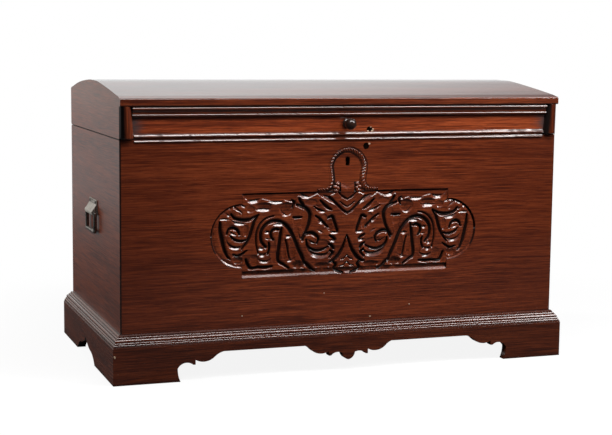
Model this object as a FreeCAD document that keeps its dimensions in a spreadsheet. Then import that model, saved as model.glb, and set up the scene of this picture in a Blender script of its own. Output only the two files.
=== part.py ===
import FreeCAD, Part
import math
import os
import re

import Sketcher

# Domed chest on a bracket base, in millimetres. +X is the chest's right seen from the front,
# +Y the back and +Z up; the origin is under the middle of its overall box, on the floor.

SIZES = (
    # carcase
    ("carcase_width", 1100, "outside width of the box"),
    ("carcase_depth", 590, "outside depth of the box"),
    ("carcase_base", 70, "height of the box's lower edge above the floor"),
    ("body_top", 558, "height of the rim above the floor"),
    ("board", 24, "thickness of the carcase and lid boards"),
    ("plank_thickness", 18, "thickness of the bottom planks"),
    ("cleat_size", 22, "square cleat that carries the planks"),
    # plinth with bracket feet
    ("plinth_height", 86, "height of the plinth boards"),
    ("plinth_board", 21, "thickness of the plinth boards"),
    ("skirt_height", 65.5, "clear height under the skirt"),
    ("foot_length", 157, "front foot, along the floor from its corner"),
    ("foot_waist", 150.5, "front foot at its narrowest"),
    ("waist_height", 31, "height of the narrowest place"),
    ("hollow_radius", 70, "hollow of the foot's inner edge"),
    ("bracket_arch", 37, "width of the small arch beside the foot"),
    ("bracket_radius", 24, "radius of that arch"),
    ("cusp_height", 38, "height of the point after the arch"),
    ("cusp_width", 5.5, "length of the point's flat"),
    ("notch_height", 49, "height of the notch after the point"),
    ("lobe_width", 46, "lobe of the foot bracket"),
    ("lobe_radius", 38.5, "radius of a lobe"),
    ("lobe_turn", 54, "height where a lobe turns up into the skirt"),
    ("sweep_width", 22, "upward sweep of the foot bracket"),
    ("sweep_radius", 42, "radius of a sweep"),
    ("pendant_drop", 26, "height of the middle pendant's tip"),
    ("pendant_width", 33, "width of the pendant"),
    ("pendant_radius", 20, "radius of the pendant"),
    ("pendant_shoulder", 43.5, "height of the pendant's shoulder"),
    ("drop_arch", 28, "small arch beside the pendant"),
    ("drop_lobe", 44.5, "lobe of the middle drop"),
    ("drop_sweep", 16, "upward sweep of the middle drop"),
    ("side_gap", 220, "width of the side cut-out at the floor"),
    ("side_apex", 48, "height of the side cut-out"),
    ("side_shift", 13, "side cut-out's middle, back of the chest's middle"),
    ("shoulder_height", 25.5, "height where the side foot's shoulder ends"),
    ("shoulder_width", 50, "width of that shoulder"),
    ("shoulder_radius", 75, "radius of that shoulder"),
    ("side_radius", 130, "hollow from the shoulder to the apex"),
    ("block_size", 48, "square glue block in each plinth corner"),
    # base moulding
    ("moulding_height", 28, "height of the base moulding"),
    ("moulding_reach", 20, "projection of the base moulding"),
    ("toe_fillet", 3.2, "flat at the foot of the moulding"),
    ("reed", 4.2, "height of each small reed"),
    ("reed_set", 2.2, "how far a small reed falls back"),
    ("broad_reed", 7, "height of the broad reed"),
    ("broad_set", 4.6, "how far the broad reed falls back"),
    ("quirk", 1.5, "step between the parts of a moulding"),
    ("top_bevel", 2.5, "bevel along the moulding's top"),
    # lid
    ("lid_gap", 0.8, "shut gap between rim and lid"),
    ("lid_edge", 94.2, "height of the lid's edges"),
    ("dome_rise", 28.5, "rise of the dome above the edges"),
    ("front_ease", 4.5, "how far the front of the dome lies under that arc"),
    ("stave_thickness", 18.5, "thickness of the dome's staves at their joints"),
    ("lip_overhang", 13.3, "front lip past the lid's face"),
    ("lip_round", 3, "rounding of the front lip"),
    ("bed_height", 26, "moulding under the lip"),
    ("bed_reach", 8.5, "projection of that moulding behind its upper bead"),
    ("bed_toe", 4.5, "projection of its lower bead's back"),
    ("bed_bead", 7, "height of each of its beads"),
    ("bed_bead_radius", 3.6, "radius of its beads"),
    ("bed_fillet", 2.5, "flat between its lower bead and its hollow"),
    ("bed_hollow", 6, "radius of its hollow"),
    ("lid_bead", 9, "width of the bead along the lid's foot"),
    ("lid_bead_reach", 4.5, "projection of that bead"),
    ("lid_bead_lift", 4.5, "that bead above the lid's lower edge"),
    ("post_width", 34, "half-round post at each end of the lid's face, at its foot"),
    ("post_top", 27, "width of the post at its top"),
    ("post_round", 4, "rounding of the post's foot"),
    ("post_reach", 12.5, "projection of the posts"),
    ("rim_bead", 6, "width of the bead along the rim"),
    ("rim_bead_reach", 3, "projection of that bead"),
    # knob
    ("knob_lift", 31.5, "knob above the lid's lower edge"),
    ("knob_shift", 5, "knob to the left of the chest's middle"),
    ("knob_reach", 40, "knob's tip from the lid's face"),
    ("knob_radius", 13.8, "radius of the knob's ball"),
    ("knob_neck", 7, "radius of its neck"),
    ("knob_collar", 10.5, "radius of its collar"),
    ("collar_thickness", 4, "thickness of its collar"),
    ("knob_tenon", 6, "radius of its tenon"),
    ("tenon_length", 18, "length of its tenon"),
    # hinges
    ("hinge_from_end", 190, "hinge's middle from the end of the chest"),
    ("hinge_length", 70, "length of a hinge"),
    ("hinge_inset", 4, "hinge axis in from the back face"),
    ("hinge_middle", 28, "length of the middle knuckle"),
    ("knuckle_radius", 4.5, "radius of the knuckles"),
    ("pin_radius", 2.2, "radius of the hinge pin"),
    ("leaf_width", 17, "leaf, from the axis"),
    ("leaf_thickness", 2.4, "thickness of a leaf"),
    ("leaf_sink", 0.1, "leaf's face below the wood"),
    ("bevel_angle", 51, "bevel of each back edge, which stops the open lid"),
    # lock
    ("lock_width", 90, "width of the lock case"),
    ("lock_height", 78, "height of the lock case"),
    ("lock_thickness", 15, "thickness of the lock case"),
    ("lock_let_in", 13, "depth that it is let into the front board"),
    ("keyhole_rise", 75, "keyhole's round above the carved panel"),
    ("key_round", 6, "radius of the keyhole's round"),
    ("key_slot", 9.6, "width of the keyhole's slot"),
    ("key_length", 15, "slot's foot below the middle of the round"),
    ("bolt_width", 4.8, "bolt, across"),
    ("bolt_depth", 6, "bolt, up and down"),
    ("bolt_length", 36, "length of the bolt"),
    ("bolt_travel", 12, "throw of the bolt"),
    ("bolt_drop", 9, "bolt's middle below the rim"),
    ("staple_width", 10, "staple under the lid, front to back"),
    ("staple_thickness", 5, "staple along the chest"),
    ("staple_drop", 15, "staple below the rim"),
    ("link_length", 64, "length of the plate that holds the staple"),
    ("link_thickness", 3, "thickness of that plate"),
    # handles
    ("handle_height", 364, "bail's axis above the floor"),
    ("strap_top", 30, "strap's top above the axis"),
    ("strap_bend", 19, "height above the axis where the strap leaves the wall"),
    ("strap_thickness", 3, "thickness of the strap on the wall"),
    ("strap_roll", 7.6, "radius of the strap's roll round the bail"),
    ("bail_radius", 4.5, "radius of the bail's bar"),
    ("bail_width", 98, "bail, between the middles of its legs"),
    ("bail_drop", 46, "bail's grip below its axis"),
    ("bail_bend", 6, "bend of the bail's corners"),
    ("nail_spacing", 66, "distance between a strap's nails"),
    ("nail_height", 24.5, "nails above the bail's axis"),
    # carved panel and keyhole surround
    ("panel_width", 524, "carved panel between its round ends"),
    ("panel_height", 200, "height of the carved panel"),
    ("panel_drop", 128, "panel's top below the rim"),
    ("panel_end", 76, "radius of its round ends"),
    ("recess_depth", 13, "recess that the panel lies in"),
    ("panel_thickness", 12.3, "thickness of the panel, left just under the board's face"),
    ("channel_depth", 7, "depth of the channels that part the scrolls"),
    ("bowl_depth", 5.5, "depth of the bowls scooped in the leaves"),
    ("border_depth", 3, "sinking of the ground along the panel's top"),
    ("end_band", 23, "width of the band round each end"),
    ("end_groove", 7, "width of the groove inside that band"),
    ("surround_depth", 3.5, "sinking round the keyhole"),
    ("surround_rise", 57, "middle of the keyhole surround above the panel"),
    ("surround_radius", 46.5, "radius of the surround"),
    ("surround_neck", 40.5, "half width of its neck"),
    ("neck_rise", 19, "neck above the panel"),
    ("surround_foot", 77, "half width of its spread feet"),
    ("foot_rise", 6, "height of those feet"),
    ("foot_hollow", 38, "hollow of those feet"),
    ("neck_radius", 90, "hollow of the neck"),
    ("surround_rim", 10.5, "width of the raised rim round the keyhole"),
    ("rim_relief", 4.5, "height of that rim above the sinking"),
    # fasteners
    ("screw_radius", 1.8, "shank of a screw"),
    ("screw_head", 3.6, "head of a screw"),
    ("screw_length", 18, "length of a screw"),
    ("lock_screw_length", 17, "length of a lock screw"),
    ("nail_radius", 2, "shank of a nail"),
    ("nail_head", 5, "head of a nail"),
    ("nail_length", 20, "length of a nail"),
    ("head_thickness", 1.8, "thickness of a nail's or lock screw's head"),
    # fits
    ("running_fit", 0.05, "clearance of a pin in its bore"),
    ("loose_fit", 0.2, "clearance of a let-in piece"),
    ("knuckle_gap", 0.5, "clearance round and between knuckles"),
    ("slide_gap", 0.4, "clearance round the bolt and beside the bails"),
    ("staple_gap", 1.2, "clearance round the staple in the lock"),
)
STAVE_COUNT = 5
PLANK_COUNT = 3
CUT_MARGIN = 1

X_AXIS = FreeCAD.Vector(1, 0, 0)
Y_AXIS = FreeCAD.Vector(0, 1, 0)
Z_AXIS = FreeCAD.Vector(0, 0, 1)

NAMES = {name for name, number, meaning in SIZES}
doc = FreeCAD.newDocument("domed_chest")
sheet = doc.addObject("Spreadsheet::Sheet", "sizes")
for row, (name, number, meaning) in enumerate(SIZES, start=1):
    sheet.set(f"A{row}", meaning)
    sheet.set(f"B{row}", str(number))
    sheet.setAlias(f"B{row}", name)
doc.recompute()
pieces = []


def formula(text):
    """A formula in size names, written so that it reads the sheet."""
    return re.sub(r"[a-z]\w*", lambda word: "sizes." + word[0] if word[0] in NAMES else word[0], str(text))


def number_of(text):
    return float(sheet.evalExpression(formula(text)))


def bind(thing, **formulas):
    for path, text in formulas.items():
        thing.setExpression(path.replace("__", "."), formula(text))


def place(thing, x, y, z, axis=Z_AXIS, angle=0):
    spot = FreeCAD.Vector(number_of(x), number_of(y), number_of(z))
    thing.Placement = FreeCAD.Placement(spot, FreeCAD.Rotation(axis, angle))
    bind(thing, Placement__Base__x=x, Placement__Base__y=y, Placement__Base__z=z)


def keep(thing, label):
    """Name a finished piece and put it on the list of pieces to write."""
    thing.Label = label
    pieces.append(thing)
    return thing


# Bodies and sketches


def new_body(label, x, y, z, turn=0):
    body = doc.addObject("PartDesign::Body", label + "_body")
    place(body, x, y, z, Z_AXIS, turn)
    return keep(body, label)


def new_sketch(body, role, name, shift=None):
    """A sketch on one of the body's own planes, moved along that plane's normal by shift."""
    sketch = body.newObject("Sketcher::SketchObject", name)
    plane = next(item for item in body.Origin.OriginFeatures if item.Role == role)
    sketch.AttachmentSupport = [(plane, "")]
    sketch.MapMode = "FlatFace"
    if shift is not None:
        bind(sketch, AttachmentOffset__Base__z=shift)
    doc.recompute()
    return sketch


def bind_last(sketch, text, *constraint):
    index = sketch.addConstraint(Sketcher.Constraint(*constraint, number_of(text)))
    sketch.setExpression(f"Constraints[{index}]", formula(text))


def add_edge(sketch, start, end, radius):
    """A line, or an arc that turns left for a positive radius; returns it with its first and last point."""
    if radius is None:
        return sketch.addGeometry(Part.LineSegment(start, end), False), 1, 2
    chord = end - start
    reach = math.sqrt(max(0, radius**2 - chord.Length**2 / 4))
    aside = FreeCAD.Vector(-chord.y, chord.x, 0).normalize() * math.copysign(reach, radius)
    middle = (start + end) * 0.5 + aside
    turns = [math.atan2(point.y - middle.y, point.x - middle.x) for point in (start, end)]
    circle = Part.Circle(middle, Z_AXIS, abs(radius))
    if radius > 0:
        return sketch.addGeometry(Part.ArcOfCircle(circle, turns[0], turns[1]), False), 1, 2
    return sketch.addGeometry(Part.ArcOfCircle(circle, turns[1], turns[0]), False), 2, 1


def draw(sketch, *corners):
    """A closed outline. Each corner is (x, y), or (x, y, radius) where an arc leaves it."""
    points = [FreeCAD.Vector(number_of(corner[0]), number_of(corner[1]), 0) for corner in corners]
    radii = [number_of(corner[2]) if len(corner) > 2 else None for corner in corners]
    edges = []
    for index, corner in enumerate(corners):
        following = points[(index + 1) % len(points)]
        edges.append(add_edge(sketch, points[index], following, radii[index]))
    for index, (edge, first, last) in enumerate(edges):
        next_edge, next_first, next_last = edges[(index + 1) % len(edges)]
        sketch.addConstraint(Sketcher.Constraint("Coincident", edge, last, next_edge, next_first))
    for corner, (edge, first, last) in zip(corners, edges):
        bind_last(sketch, corner[0], "DistanceX", -1, 1, edge, first)
        bind_last(sketch, corner[1], "DistanceY", -1, 1, edge, first)
        if len(corner) > 2:
            bind_last(sketch, f"abs({corner[2]})", "Radius", edge)


def draw_circle(sketch, x, y, radius):
    middle = FreeCAD.Vector(number_of(x), number_of(y), 0)
    circle = sketch.addGeometry(Part.Circle(middle, Z_AXIS, number_of(radius)), False)
    bind_last(sketch, x, "DistanceX", -1, 1, circle, 3)
    bind_last(sketch, y, "DistanceY", -1, 1, circle, 3)
    bind_last(sketch, radius, "Radius", circle)


def rectangle(left, low, right, high):
    return (left, low), (right, low), (right, high), (left, high)


def pad(body, sketch, length, back=False, both=False):
    feature = body.newObject("PartDesign::Pad", sketch.Name + "_pad")
    feature.Profile = sketch
    feature.Reversed = back
    feature.Midplane = both
    bind(feature, Length=length)
    doc.recompute()
    return feature


def pocket(body, sketch, length, back=False, both=False):
    before = body.Shape.Volume
    feature = body.newObject("PartDesign::Pocket", sketch.Name + "_pocket")
    feature.Profile = sketch
    feature.Reversed = back
    feature.Midplane = both
    bind(feature, Length=length)
    doc.recompute()
    if not body.Shape.Volume < before:
        raise RuntimeError(f"{sketch.Name} cuts nothing from {body.Label}")
    return feature


def mirror(body, features, role="YZ_Plane"):
    feature = body.newObject("PartDesign::Mirrored", body.Name + "_mirrored")
    feature.Originals = features
    plane = next(item for item in body.Origin.OriginFeatures if item.Role == role)
    feature.MirrorPlane = (plane, [""])
    body.Tip = feature
    doc.recompute()
    return feature


def round_edges(body, radius, picked):
    """Round the body's edges whose middle point satisfies picked, a test on a point in the body's frame."""
    base = body.Tip
    names = []
    for index, edge in enumerate(base.Shape.Edges, start=1):
        middle = edge.valueAt((edge.FirstParameter + edge.LastParameter) / 2)
        if picked(middle):
            names.append(f"Edge{index}")
    feature = body.newObject("PartDesign::Fillet", body.Name + "_round")
    feature.Base = (base, names)
    bind(feature, Radius=radius)
    doc.recompute()
    return feature


# Plain solids and their cuts


def block(x, y, z, length, width, height):
    solid = doc.addObject("Part::Box", "block")
    bind(solid, Length=length, Width=width, Height=height)
    place(solid, x, y, z)
    return solid


def rod_along_x(middle, y, z, radius, length):
    solid = doc.addObject("Part::Cylinder", "rod")
    bind(solid, Radius=radius, Height=length)
    place(solid, f"{middle} - ({length}) / 2", y, z, Y_AXIS, 90)
    return solid


def fuse(*solids):
    joined = doc.addObject("Part::MultiFuse", "joined")
    joined.Shapes = list(solids)
    return joined


def cut(solid, *tools):
    rest = doc.addObject("Part::Cut", "rest")
    rest.Base = solid
    rest.Tool = tools[0] if len(tools) == 1 else fuse(*tools)
    return rest


def fasteners(spots, direction, head, head_height, shank, length, sunk):
    """Separate nails or screws at spots, driven along direction; sunk heads taper to the shank."""
    solids = []
    for spot in spots:
        if sunk:
            top = Part.makeCone(head, shank, head_height, spot, direction)
            stem_start = spot + direction * head_height
        else:
            top = Part.makeCone(head * 0.6, head, head_height, spot - direction * head_height, direction)
            stem_start = spot
        stem = Part.makeCylinder(shank, length, stem_start, direction)
        solids.append(top.fuse(stem).removeSplitter())
    return Part.makeCompound(solids)


def shape_piece(shape, label=None):
    """A piece whose solids are worked out here from the sheet's values."""
    thing = doc.addObject("Part::Feature", label or "tool")
    thing.Shape = shape
    return keep(thing, label) if label else thing


# Places that several pieces share

FRONT = "((knob_reach - plinth_board - carcase_depth) / 2)"
BACK = "((knob_reach - plinth_board + carcase_depth) / 2)"
MIDDLE = "((knob_reach - plinth_board) / 2)"
LID = "(body_top + lid_gap)"
AXIS_Z = "(body_top + lid_gap / 2)"
AXIS_Y = f"({BACK} - hinge_inset)"
HALF = "(carcase_depth / 2)"
SIDE = "(carcase_width / 2)"
PANEL_TOP = "(body_top - panel_drop)"
PANEL_MIDDLE = f"({PANEL_TOP} - panel_height / 2)"
KEYHOLE = f"({PANEL_TOP} + keyhole_rise)"
HINGE = f"({SIDE} - hinge_from_end)"
LOCK_Y = f"({FRONT} + board - lock_let_in)"
STAPLE_Y = f"({LOCK_Y} + lock_thickness / 2)"
STRAP_WIDTH = "(bail_width - 2 * bail_bend - 2 * slide_gap)"
CORNERS = (("left", -1), ("right", 1))


# Dome of the lid, measured from the middle of the lid's lower edge

DOME = "((carcase_depth^2 / 4 + dome_rise^2) / (2 * dome_rise))"
INNER = f"({DOME} - stave_thickness)"
DOME_MIDDLE = f"(lid_edge + dome_rise - {DOME})"
SPREAD = f"asin(carcase_depth / 2 / {DOME})"
STAVE_SLOPE = f"tan({SPREAD} * {1 - 1 / STAVE_COUNT})"


def dome_point(joint, radius):
    """Joint between two staves, on an arc that is eased down at the first two joints."""
    turn = f"{SPREAD} * {2 * joint / STAVE_COUNT - 1}"
    eased = {1: " - front_ease", 2: " - front_ease / 4"}.get(joint, "")
    return f"{radius} * sin({turn})", f"{DOME_MIDDLE} + {radius} * cos({turn}){eased}"


def under_back(inward):
    """Height of the back stave's flat underside, at a distance inward from the lid's back."""
    start_y, start_z = dome_point(0, INNER)
    return f"({start_z} + ({inward} - {HALF} - ({start_y})) * {STAVE_SLOPE})"


def under_lip(inward):
    """Height of the front stave's flat underside, at a distance inward from the lid's face."""
    start_y, start_z = dome_point(0, INNER)
    slope = f"({STAVE_SLOPE} - front_ease / ({dome_point(1, INNER)[0]} - ({start_y})))"
    return f"({start_z} + ({inward} - {HALF} - ({start_y})) * {slope})"


# Carcase


def front_board():
    body = new_body("front_board", "0", FRONT, "carcase_base")
    plan = new_sketch(body, "XY_Plane", "front_plan")
    inner = f"{SIDE} - board"
    draw(plan, (f"-{SIDE}", "0"), (SIDE, "0"), (inner, "board"), (f"-({inner})", "board"))
    pad(body, plan, "body_top - carcase_base")
    recess = new_sketch(body, "XZ_Plane", "panel_recess")
    draw(recess, *panel_outline(f"{PANEL_MIDDLE} - carcase_base", "0"))
    pocket(body, recess, "recess_depth")
    surround = new_sketch(body, "XZ_Plane", "surround_recess")
    draw(surround, *surround_outline(f"{PANEL_TOP} - carcase_base", "0", f"-{CUT_MARGIN}"))
    pocket(body, surround, "surround_depth")
    keyhole = new_sketch(body, "XZ_Plane", "keyhole")
    draw(keyhole, *keyhole_outline(f"{KEYHOLE} - carcase_base", "0"))
    pocket(body, keyhole, "board")
    mortise = new_sketch(body, "XY_Plane", "lock_mortise", "body_top - carcase_base")
    wide = "(lock_width / 2 + loose_fit)"
    draw(mortise, *rectangle(f"-{wide}", "board - lock_let_in", wide, f"board + {CUT_MARGIN}"))
    pocket(body, mortise, "lock_height + loose_fit")


def panel_outline(middle, inset):
    """Rectangle with a half-round end on each side, drawn in by inset."""
    wide = f"(panel_width / 2 - {inset})"
    tall = f"(panel_height / 2 - {inset})"
    end = f"(panel_end - {inset})"
    return (
        (f"-{wide}", f"{middle} - {tall}"),
        (wide, f"{middle} - {tall}"),
        (wide, f"{middle} - {end}", end),
        (f"{wide} + {end}", middle, end),
        (wide, f"{middle} + {end}"),
        (wide, f"{middle} + {tall}"),
        (f"-{wide}", f"{middle} + {tall}"),
        (f"-{wide}", f"{middle} + {end}", end),
        (f"-{wide} - {end}", middle, end),
        (f"-{wide}", f"{middle} - {end}"),
    )


def surround_outline(foot, inset, low):
    """Horseshoe on spread feet that frames the keyhole, drawn in by inset, from the height low."""
    spread = f"(surround_foot - {inset})"
    neck = f"(surround_neck - {inset})"
    ring = f"(surround_radius - {inset})"
    middle = f"{foot} + surround_rise"
    hollow = f"(foot_hollow + {inset})"
    waist = f"(neck_radius + {inset})"
    return (
        (f"-{spread}", f"{foot} + {low}"),
        (spread, f"{foot} + {low}"),
        (spread, f"{foot} + foot_rise - {inset}", f"-{hollow}"),
        (neck, f"{foot} + neck_rise", f"-{waist}"),
        (ring, middle, ring),
        ("0", f"{middle} + {ring}", ring),
        (f"-{ring}", middle, f"-{waist}"),
        (f"-{neck}", f"{foot} + neck_rise", f"-{hollow}"),
        (f"-{spread}", f"{foot} + foot_rise - {inset}"),
    )


def keyhole_outline(middle, grow):
    slot = f"(key_slot / 2 + {grow})"
    ring = f"(key_round + {grow})"
    shoulder = f"{middle} - sqrt({ring}^2 - {slot}^2)"
    return (
        (f"-{slot}", f"{middle} - key_length - {grow}"),
        (slot, f"{middle} - key_length - {grow}"),
        (slot, shoulder, ring),
        (ring, middle, ring),
        ("0", f"{middle} + {ring}", ring),
        (f"-{ring}", middle, ring),
        (f"-{slot}", shoulder),
    )


def side_board(hand, sign):
    body = new_body(f"{hand}_side_board", f"{sign} * {SIDE}", MIDDLE, "carcase_base")
    plan = new_sketch(body, "XY_Plane", f"{hand}_side_plan")
    inner = f"{-sign} * board"
    back = f"{HALF} - board"
    draw(plan, ("0", f"-{HALF}"), ("0", back), (inner, back), (inner, f"-{HALF} + board"))
    pad(body, plan, "body_top - carcase_base")


def back_board():
    body = new_body("back_board", "0", BACK, "carcase_base")
    plan = new_sketch(body, "XY_Plane", "back_plan")
    draw(plan, *rectangle(f"-{SIDE}", "-board", SIDE, "0"))
    pad(body, plan, "body_top - carcase_base")
    rim = "(body_top - carcase_base)"
    cut_stop_bevel(body, "0", rim, -1)
    cut_hinge_beds(body, "0", rim, -1)


def cut_stop_bevel(body, face, rim, up):
    """Bevel a back edge outward from the hinge axis; the two bevels meet when the lid is right open."""
    bevel = new_sketch(body, "YZ_Plane", body.Label + "_bevel")
    out = f"{face} + {CUT_MARGIN}"
    fall = f"(hinge_inset + {CUT_MARGIN}) * tan(bevel_angle * 1 deg)"
    draw(bevel, (f"{face} - hinge_inset", rim), (out, rim), (out, f"{rim} + {up} * {fall}"))
    pocket(body, bevel, f"carcase_width + {2 * CUT_MARGIN}", both=True)


def cut_hinge_beds(body, face, rim, up):
    """Sink both hinges' leaves into an edge and hollow it round their knuckles."""
    axis = f"{face} - hinge_inset"
    long = "hinge_length + 2 * loose_fit"
    bed = new_sketch(body, "YZ_Plane", body.Label + "_leaf_bed", HINGE)
    sunk = f"{rim} + {up} * (leaf_thickness + leaf_sink)"
    proud = f"{rim} - {up} * {CUT_MARGIN}"
    draw(bed, *rectangle(f"{axis} - leaf_width - loose_fit", sunk, axis, proud))
    bed_cut = pocket(body, bed, long, both=True)
    hollow = new_sketch(body, "YZ_Plane", body.Label + "_knuckle_hollow", HINGE)
    draw_circle(hollow, axis, f"{rim} - {up} * lid_gap / 2", "knuckle_radius + knuckle_gap")
    hollow_cut = pocket(body, hollow, long, both=True)
    mirror(body, [bed_cut, hollow_cut])


def bottom():
    inner_depth = "(carcase_depth - 2 * board)"
    for index in range(PLANK_COUNT):
        width = f"{inner_depth} / {PLANK_COUNT}"
        start = f"{FRONT} + board + {index} * {width}"
        high = "carcase_base + cleat_size"
        plank = block(f"-{SIDE} + board", start, high, "carcase_width - 2 * board", width, "plank_thickness")
        keep(plank, f"bottom_plank_{index + 1}")
    for hand, start in (("left", f"-{SIDE} + board"), ("right", f"{SIDE} - board - cleat_size")):
        cleat = block(start, f"{FRONT} + board", "carcase_base", "cleat_size", inner_depth, "cleat_size")
        keep(cleat, f"{hand}_bottom_cleat")


def rim_bead():
    body = new_body("rim_bead", "0", FRONT, "body_top")
    section = new_sketch(body, "YZ_Plane", "rim_bead_section")
    draw(section, *half_round("rim_bead", "rim_bead_reach", "-rim_bead"))
    pad(body, section, "carcase_width - 2 * post_width", both=True)


def half_round(width, reach, low):
    """A round bead's section on a face: it bulges towards -y and starts at the height low."""
    radius = f"((({width})^2 / 4 + ({reach})^2) / (2 * ({reach})))"
    middle = f"{low} + {width} / 2"
    return ("0", f"{low} + {width}", radius), (f"-{reach}", middle, radius), ("0", low)


# Plinth and base moulding

TURNS = (("front", 0), ("right", 90), ("back", 180), ("left", -90))


def side_place(side):
    """Where the middle of a carcase face meets the floor, and that face's length."""
    spots = {
        "front": ("0", FRONT, "carcase_width"),
        "back": ("0", BACK, "carcase_width"),
        "left": (f"-{SIDE}", MIDDLE, "carcase_depth"),
        "right": (SIDE, MIDDLE, "carcase_depth"),
    }
    return spots[side]


def cut_mitres(body, length, reach, height):
    """Mitre both ends of a strip that lies on a face and reaches towards -y."""
    mitre = new_sketch(body, "XY_Plane", body.Label + "_mitre")
    out = f"{length} / 2 + {reach} + {CUT_MARGIN}"
    near = f"{length} / 2 - {CUT_MARGIN}"
    far = f"-{reach} - {CUT_MARGIN}"
    draw(mitre, (near, str(CUT_MARGIN)), (out, far), (out, str(CUT_MARGIN)))
    draw(mitre, (f"-({near})", str(CUT_MARGIN)), (f"-({out})", str(CUT_MARGIN)), (f"-({out})", far))
    pocket(body, mitre, height, back=True)


def front_edge(corner):
    """Lower edge of the front plinth from its right corner to the middle, foot, bracket and drop."""
    waist = f"{corner} - foot_waist"
    cusp = f"{waist} - bracket_arch"
    notch = f"{cusp} - cusp_width"
    turn = f"{notch} - lobe_width"
    drop_cusp = "pendant_width / 2 + drop_arch"
    drop_notch = f"{drop_cusp} + cusp_width"
    drop_turn = f"{drop_notch} + drop_lobe"
    return (
        (f"{corner} - foot_length", "0", "hollow_radius"),
        (waist, "waist_height", "bracket_radius"),
        (cusp, "cusp_height"),
        (notch, "cusp_height"),
        (notch, "notch_height", "-lobe_radius"),
        (turn, "lobe_turn", "sweep_radius"),
        (f"{turn} - sweep_width", "skirt_height"),
        (f"{drop_turn} + drop_sweep", "skirt_height", "sweep_radius"),
        (drop_turn, "lobe_turn", "-lobe_radius"),
        (drop_notch, "notch_height"),
        (drop_notch, "cusp_height"),
        (drop_cusp, "cusp_height", "bracket_radius"),
        ("pendant_width / 2", "pendant_shoulder", "-pendant_radius"),
        ("0", "pendant_drop"),
    )


def plain_edge(corner):
    """Lower edge of the back plinth from one corner to the middle: a plain foot and a straight skirt."""
    waist = f"{corner} - foot_waist"
    return (
        (f"{corner} - foot_length", "0", "hollow_radius"),
        (waist, "waist_height", "sweep_radius"),
        (f"{waist} - bracket_arch", "skirt_height"),
        ("0", "skirt_height"),
    )


def side_edge(shift):
    """Lower edge of a side plinth's cut-out: two shouldered feet that sweep up to a point."""
    half = "side_gap / 2"
    shoulder = f"({half} - shoulder_width)"
    return (
        (f"{shift} + {half}", "0", "shoulder_radius"),
        (f"{shift} + {shoulder}", "shoulder_height", "-side_radius"),
        (shift, "side_apex", "-side_radius"),
        (f"{shift} - {shoulder}", "shoulder_height", "shoulder_radius"),
        (f"{shift} - {half}", "0"),
    )


def plinth_boards():
    for side, turn in TURNS:
        x, y, length = side_place(side)
        body = new_body(f"plinth_{side}", x, y, "0", turn)
        outline = new_sketch(body, "XZ_Plane", f"plinth_{side}_outline")
        corner = f"{length} / 2 + plinth_board"
        if side in ("left", "right"):
            shift = "side_shift" if side == "right" else "-side_shift"
            far = f"-({corner})"
            ends = (far, "0"), (far, "plinth_height"), (corner, "plinth_height"), (corner, "0")
            draw(outline, *ends, *side_edge(shift))
            pad(body, outline, "plinth_board")
        else:
            edge = front_edge(corner) if side == "front" else plain_edge(corner)
            draw(outline, ("0", "plinth_height"), (corner, "plinth_height"), (corner, "0"), *edge)
            half = pad(body, outline, "plinth_board")
            mirror(body, [half])
        cut_mitres(body, length, "plinth_board", "plinth_height")
    for hand, sign in CORNERS:
        for end, face in (("front", FRONT), ("back", f"{BACK} - block_size")):
            start = f"-{SIDE}" if sign < 0 else f"{SIDE} - block_size"
            corner_block = block(start, face, "0", "block_size", "block_size", "carcase_base")
            keep(corner_block, f"corner_block_{end}_{hand}")


def reed_arc(height, fall):
    return f"-0.55 * sqrt({height}^2 + {fall}^2)"


def base_mouldings():
    """Reeded moulding: a flat toe, two small reeds, a broad one, a small one and a bevelled neck."""
    small, broad = reed_arc("reed", "reed_set"), reed_arc("broad_reed", "broad_set")
    start = "moulding_reach - quirk"
    low_back, low_top = f"{start} - 2 * reed_set", "toe_fillet + 2 * reed"
    broad_back, broad_top = f"{low_back} - broad_set", f"{low_top} + broad_reed"
    high_back, high_top = f"{broad_back} - reed_set", f"{broad_top} + reed"
    neck = f"{high_back} - quirk"
    section = (
        ("0", "moulding_height"),
        ("0", "0"),
        ("-moulding_reach", "0"),
        ("-moulding_reach", "toe_fillet"),
        (f"-({start})", "toe_fillet", small),
        (f"-({start} - reed_set)", "toe_fillet + reed", small),
        (f"-({low_back})", low_top, broad),
        (f"-({broad_back})", broad_top, small),
        (f"-({high_back})", high_top),
        (f"-({neck})", high_top),
        (f"-({neck})", "moulding_height - top_bevel"),
        (f"-({neck} - top_bevel)", "moulding_height"),
    )
    for side, turn in TURNS:
        x, y, length = side_place(side)
        body = new_body(f"base_moulding_{side}", x, y, "plinth_height", turn)
        profile = new_sketch(body, "YZ_Plane", f"base_moulding_{side}_section")
        draw(profile, *section)
        pad(body, profile, f"{length} + 2 * moulding_reach", both=True)
        cut_mitres(body, length, "moulding_reach", "moulding_height")


# Lid


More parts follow.
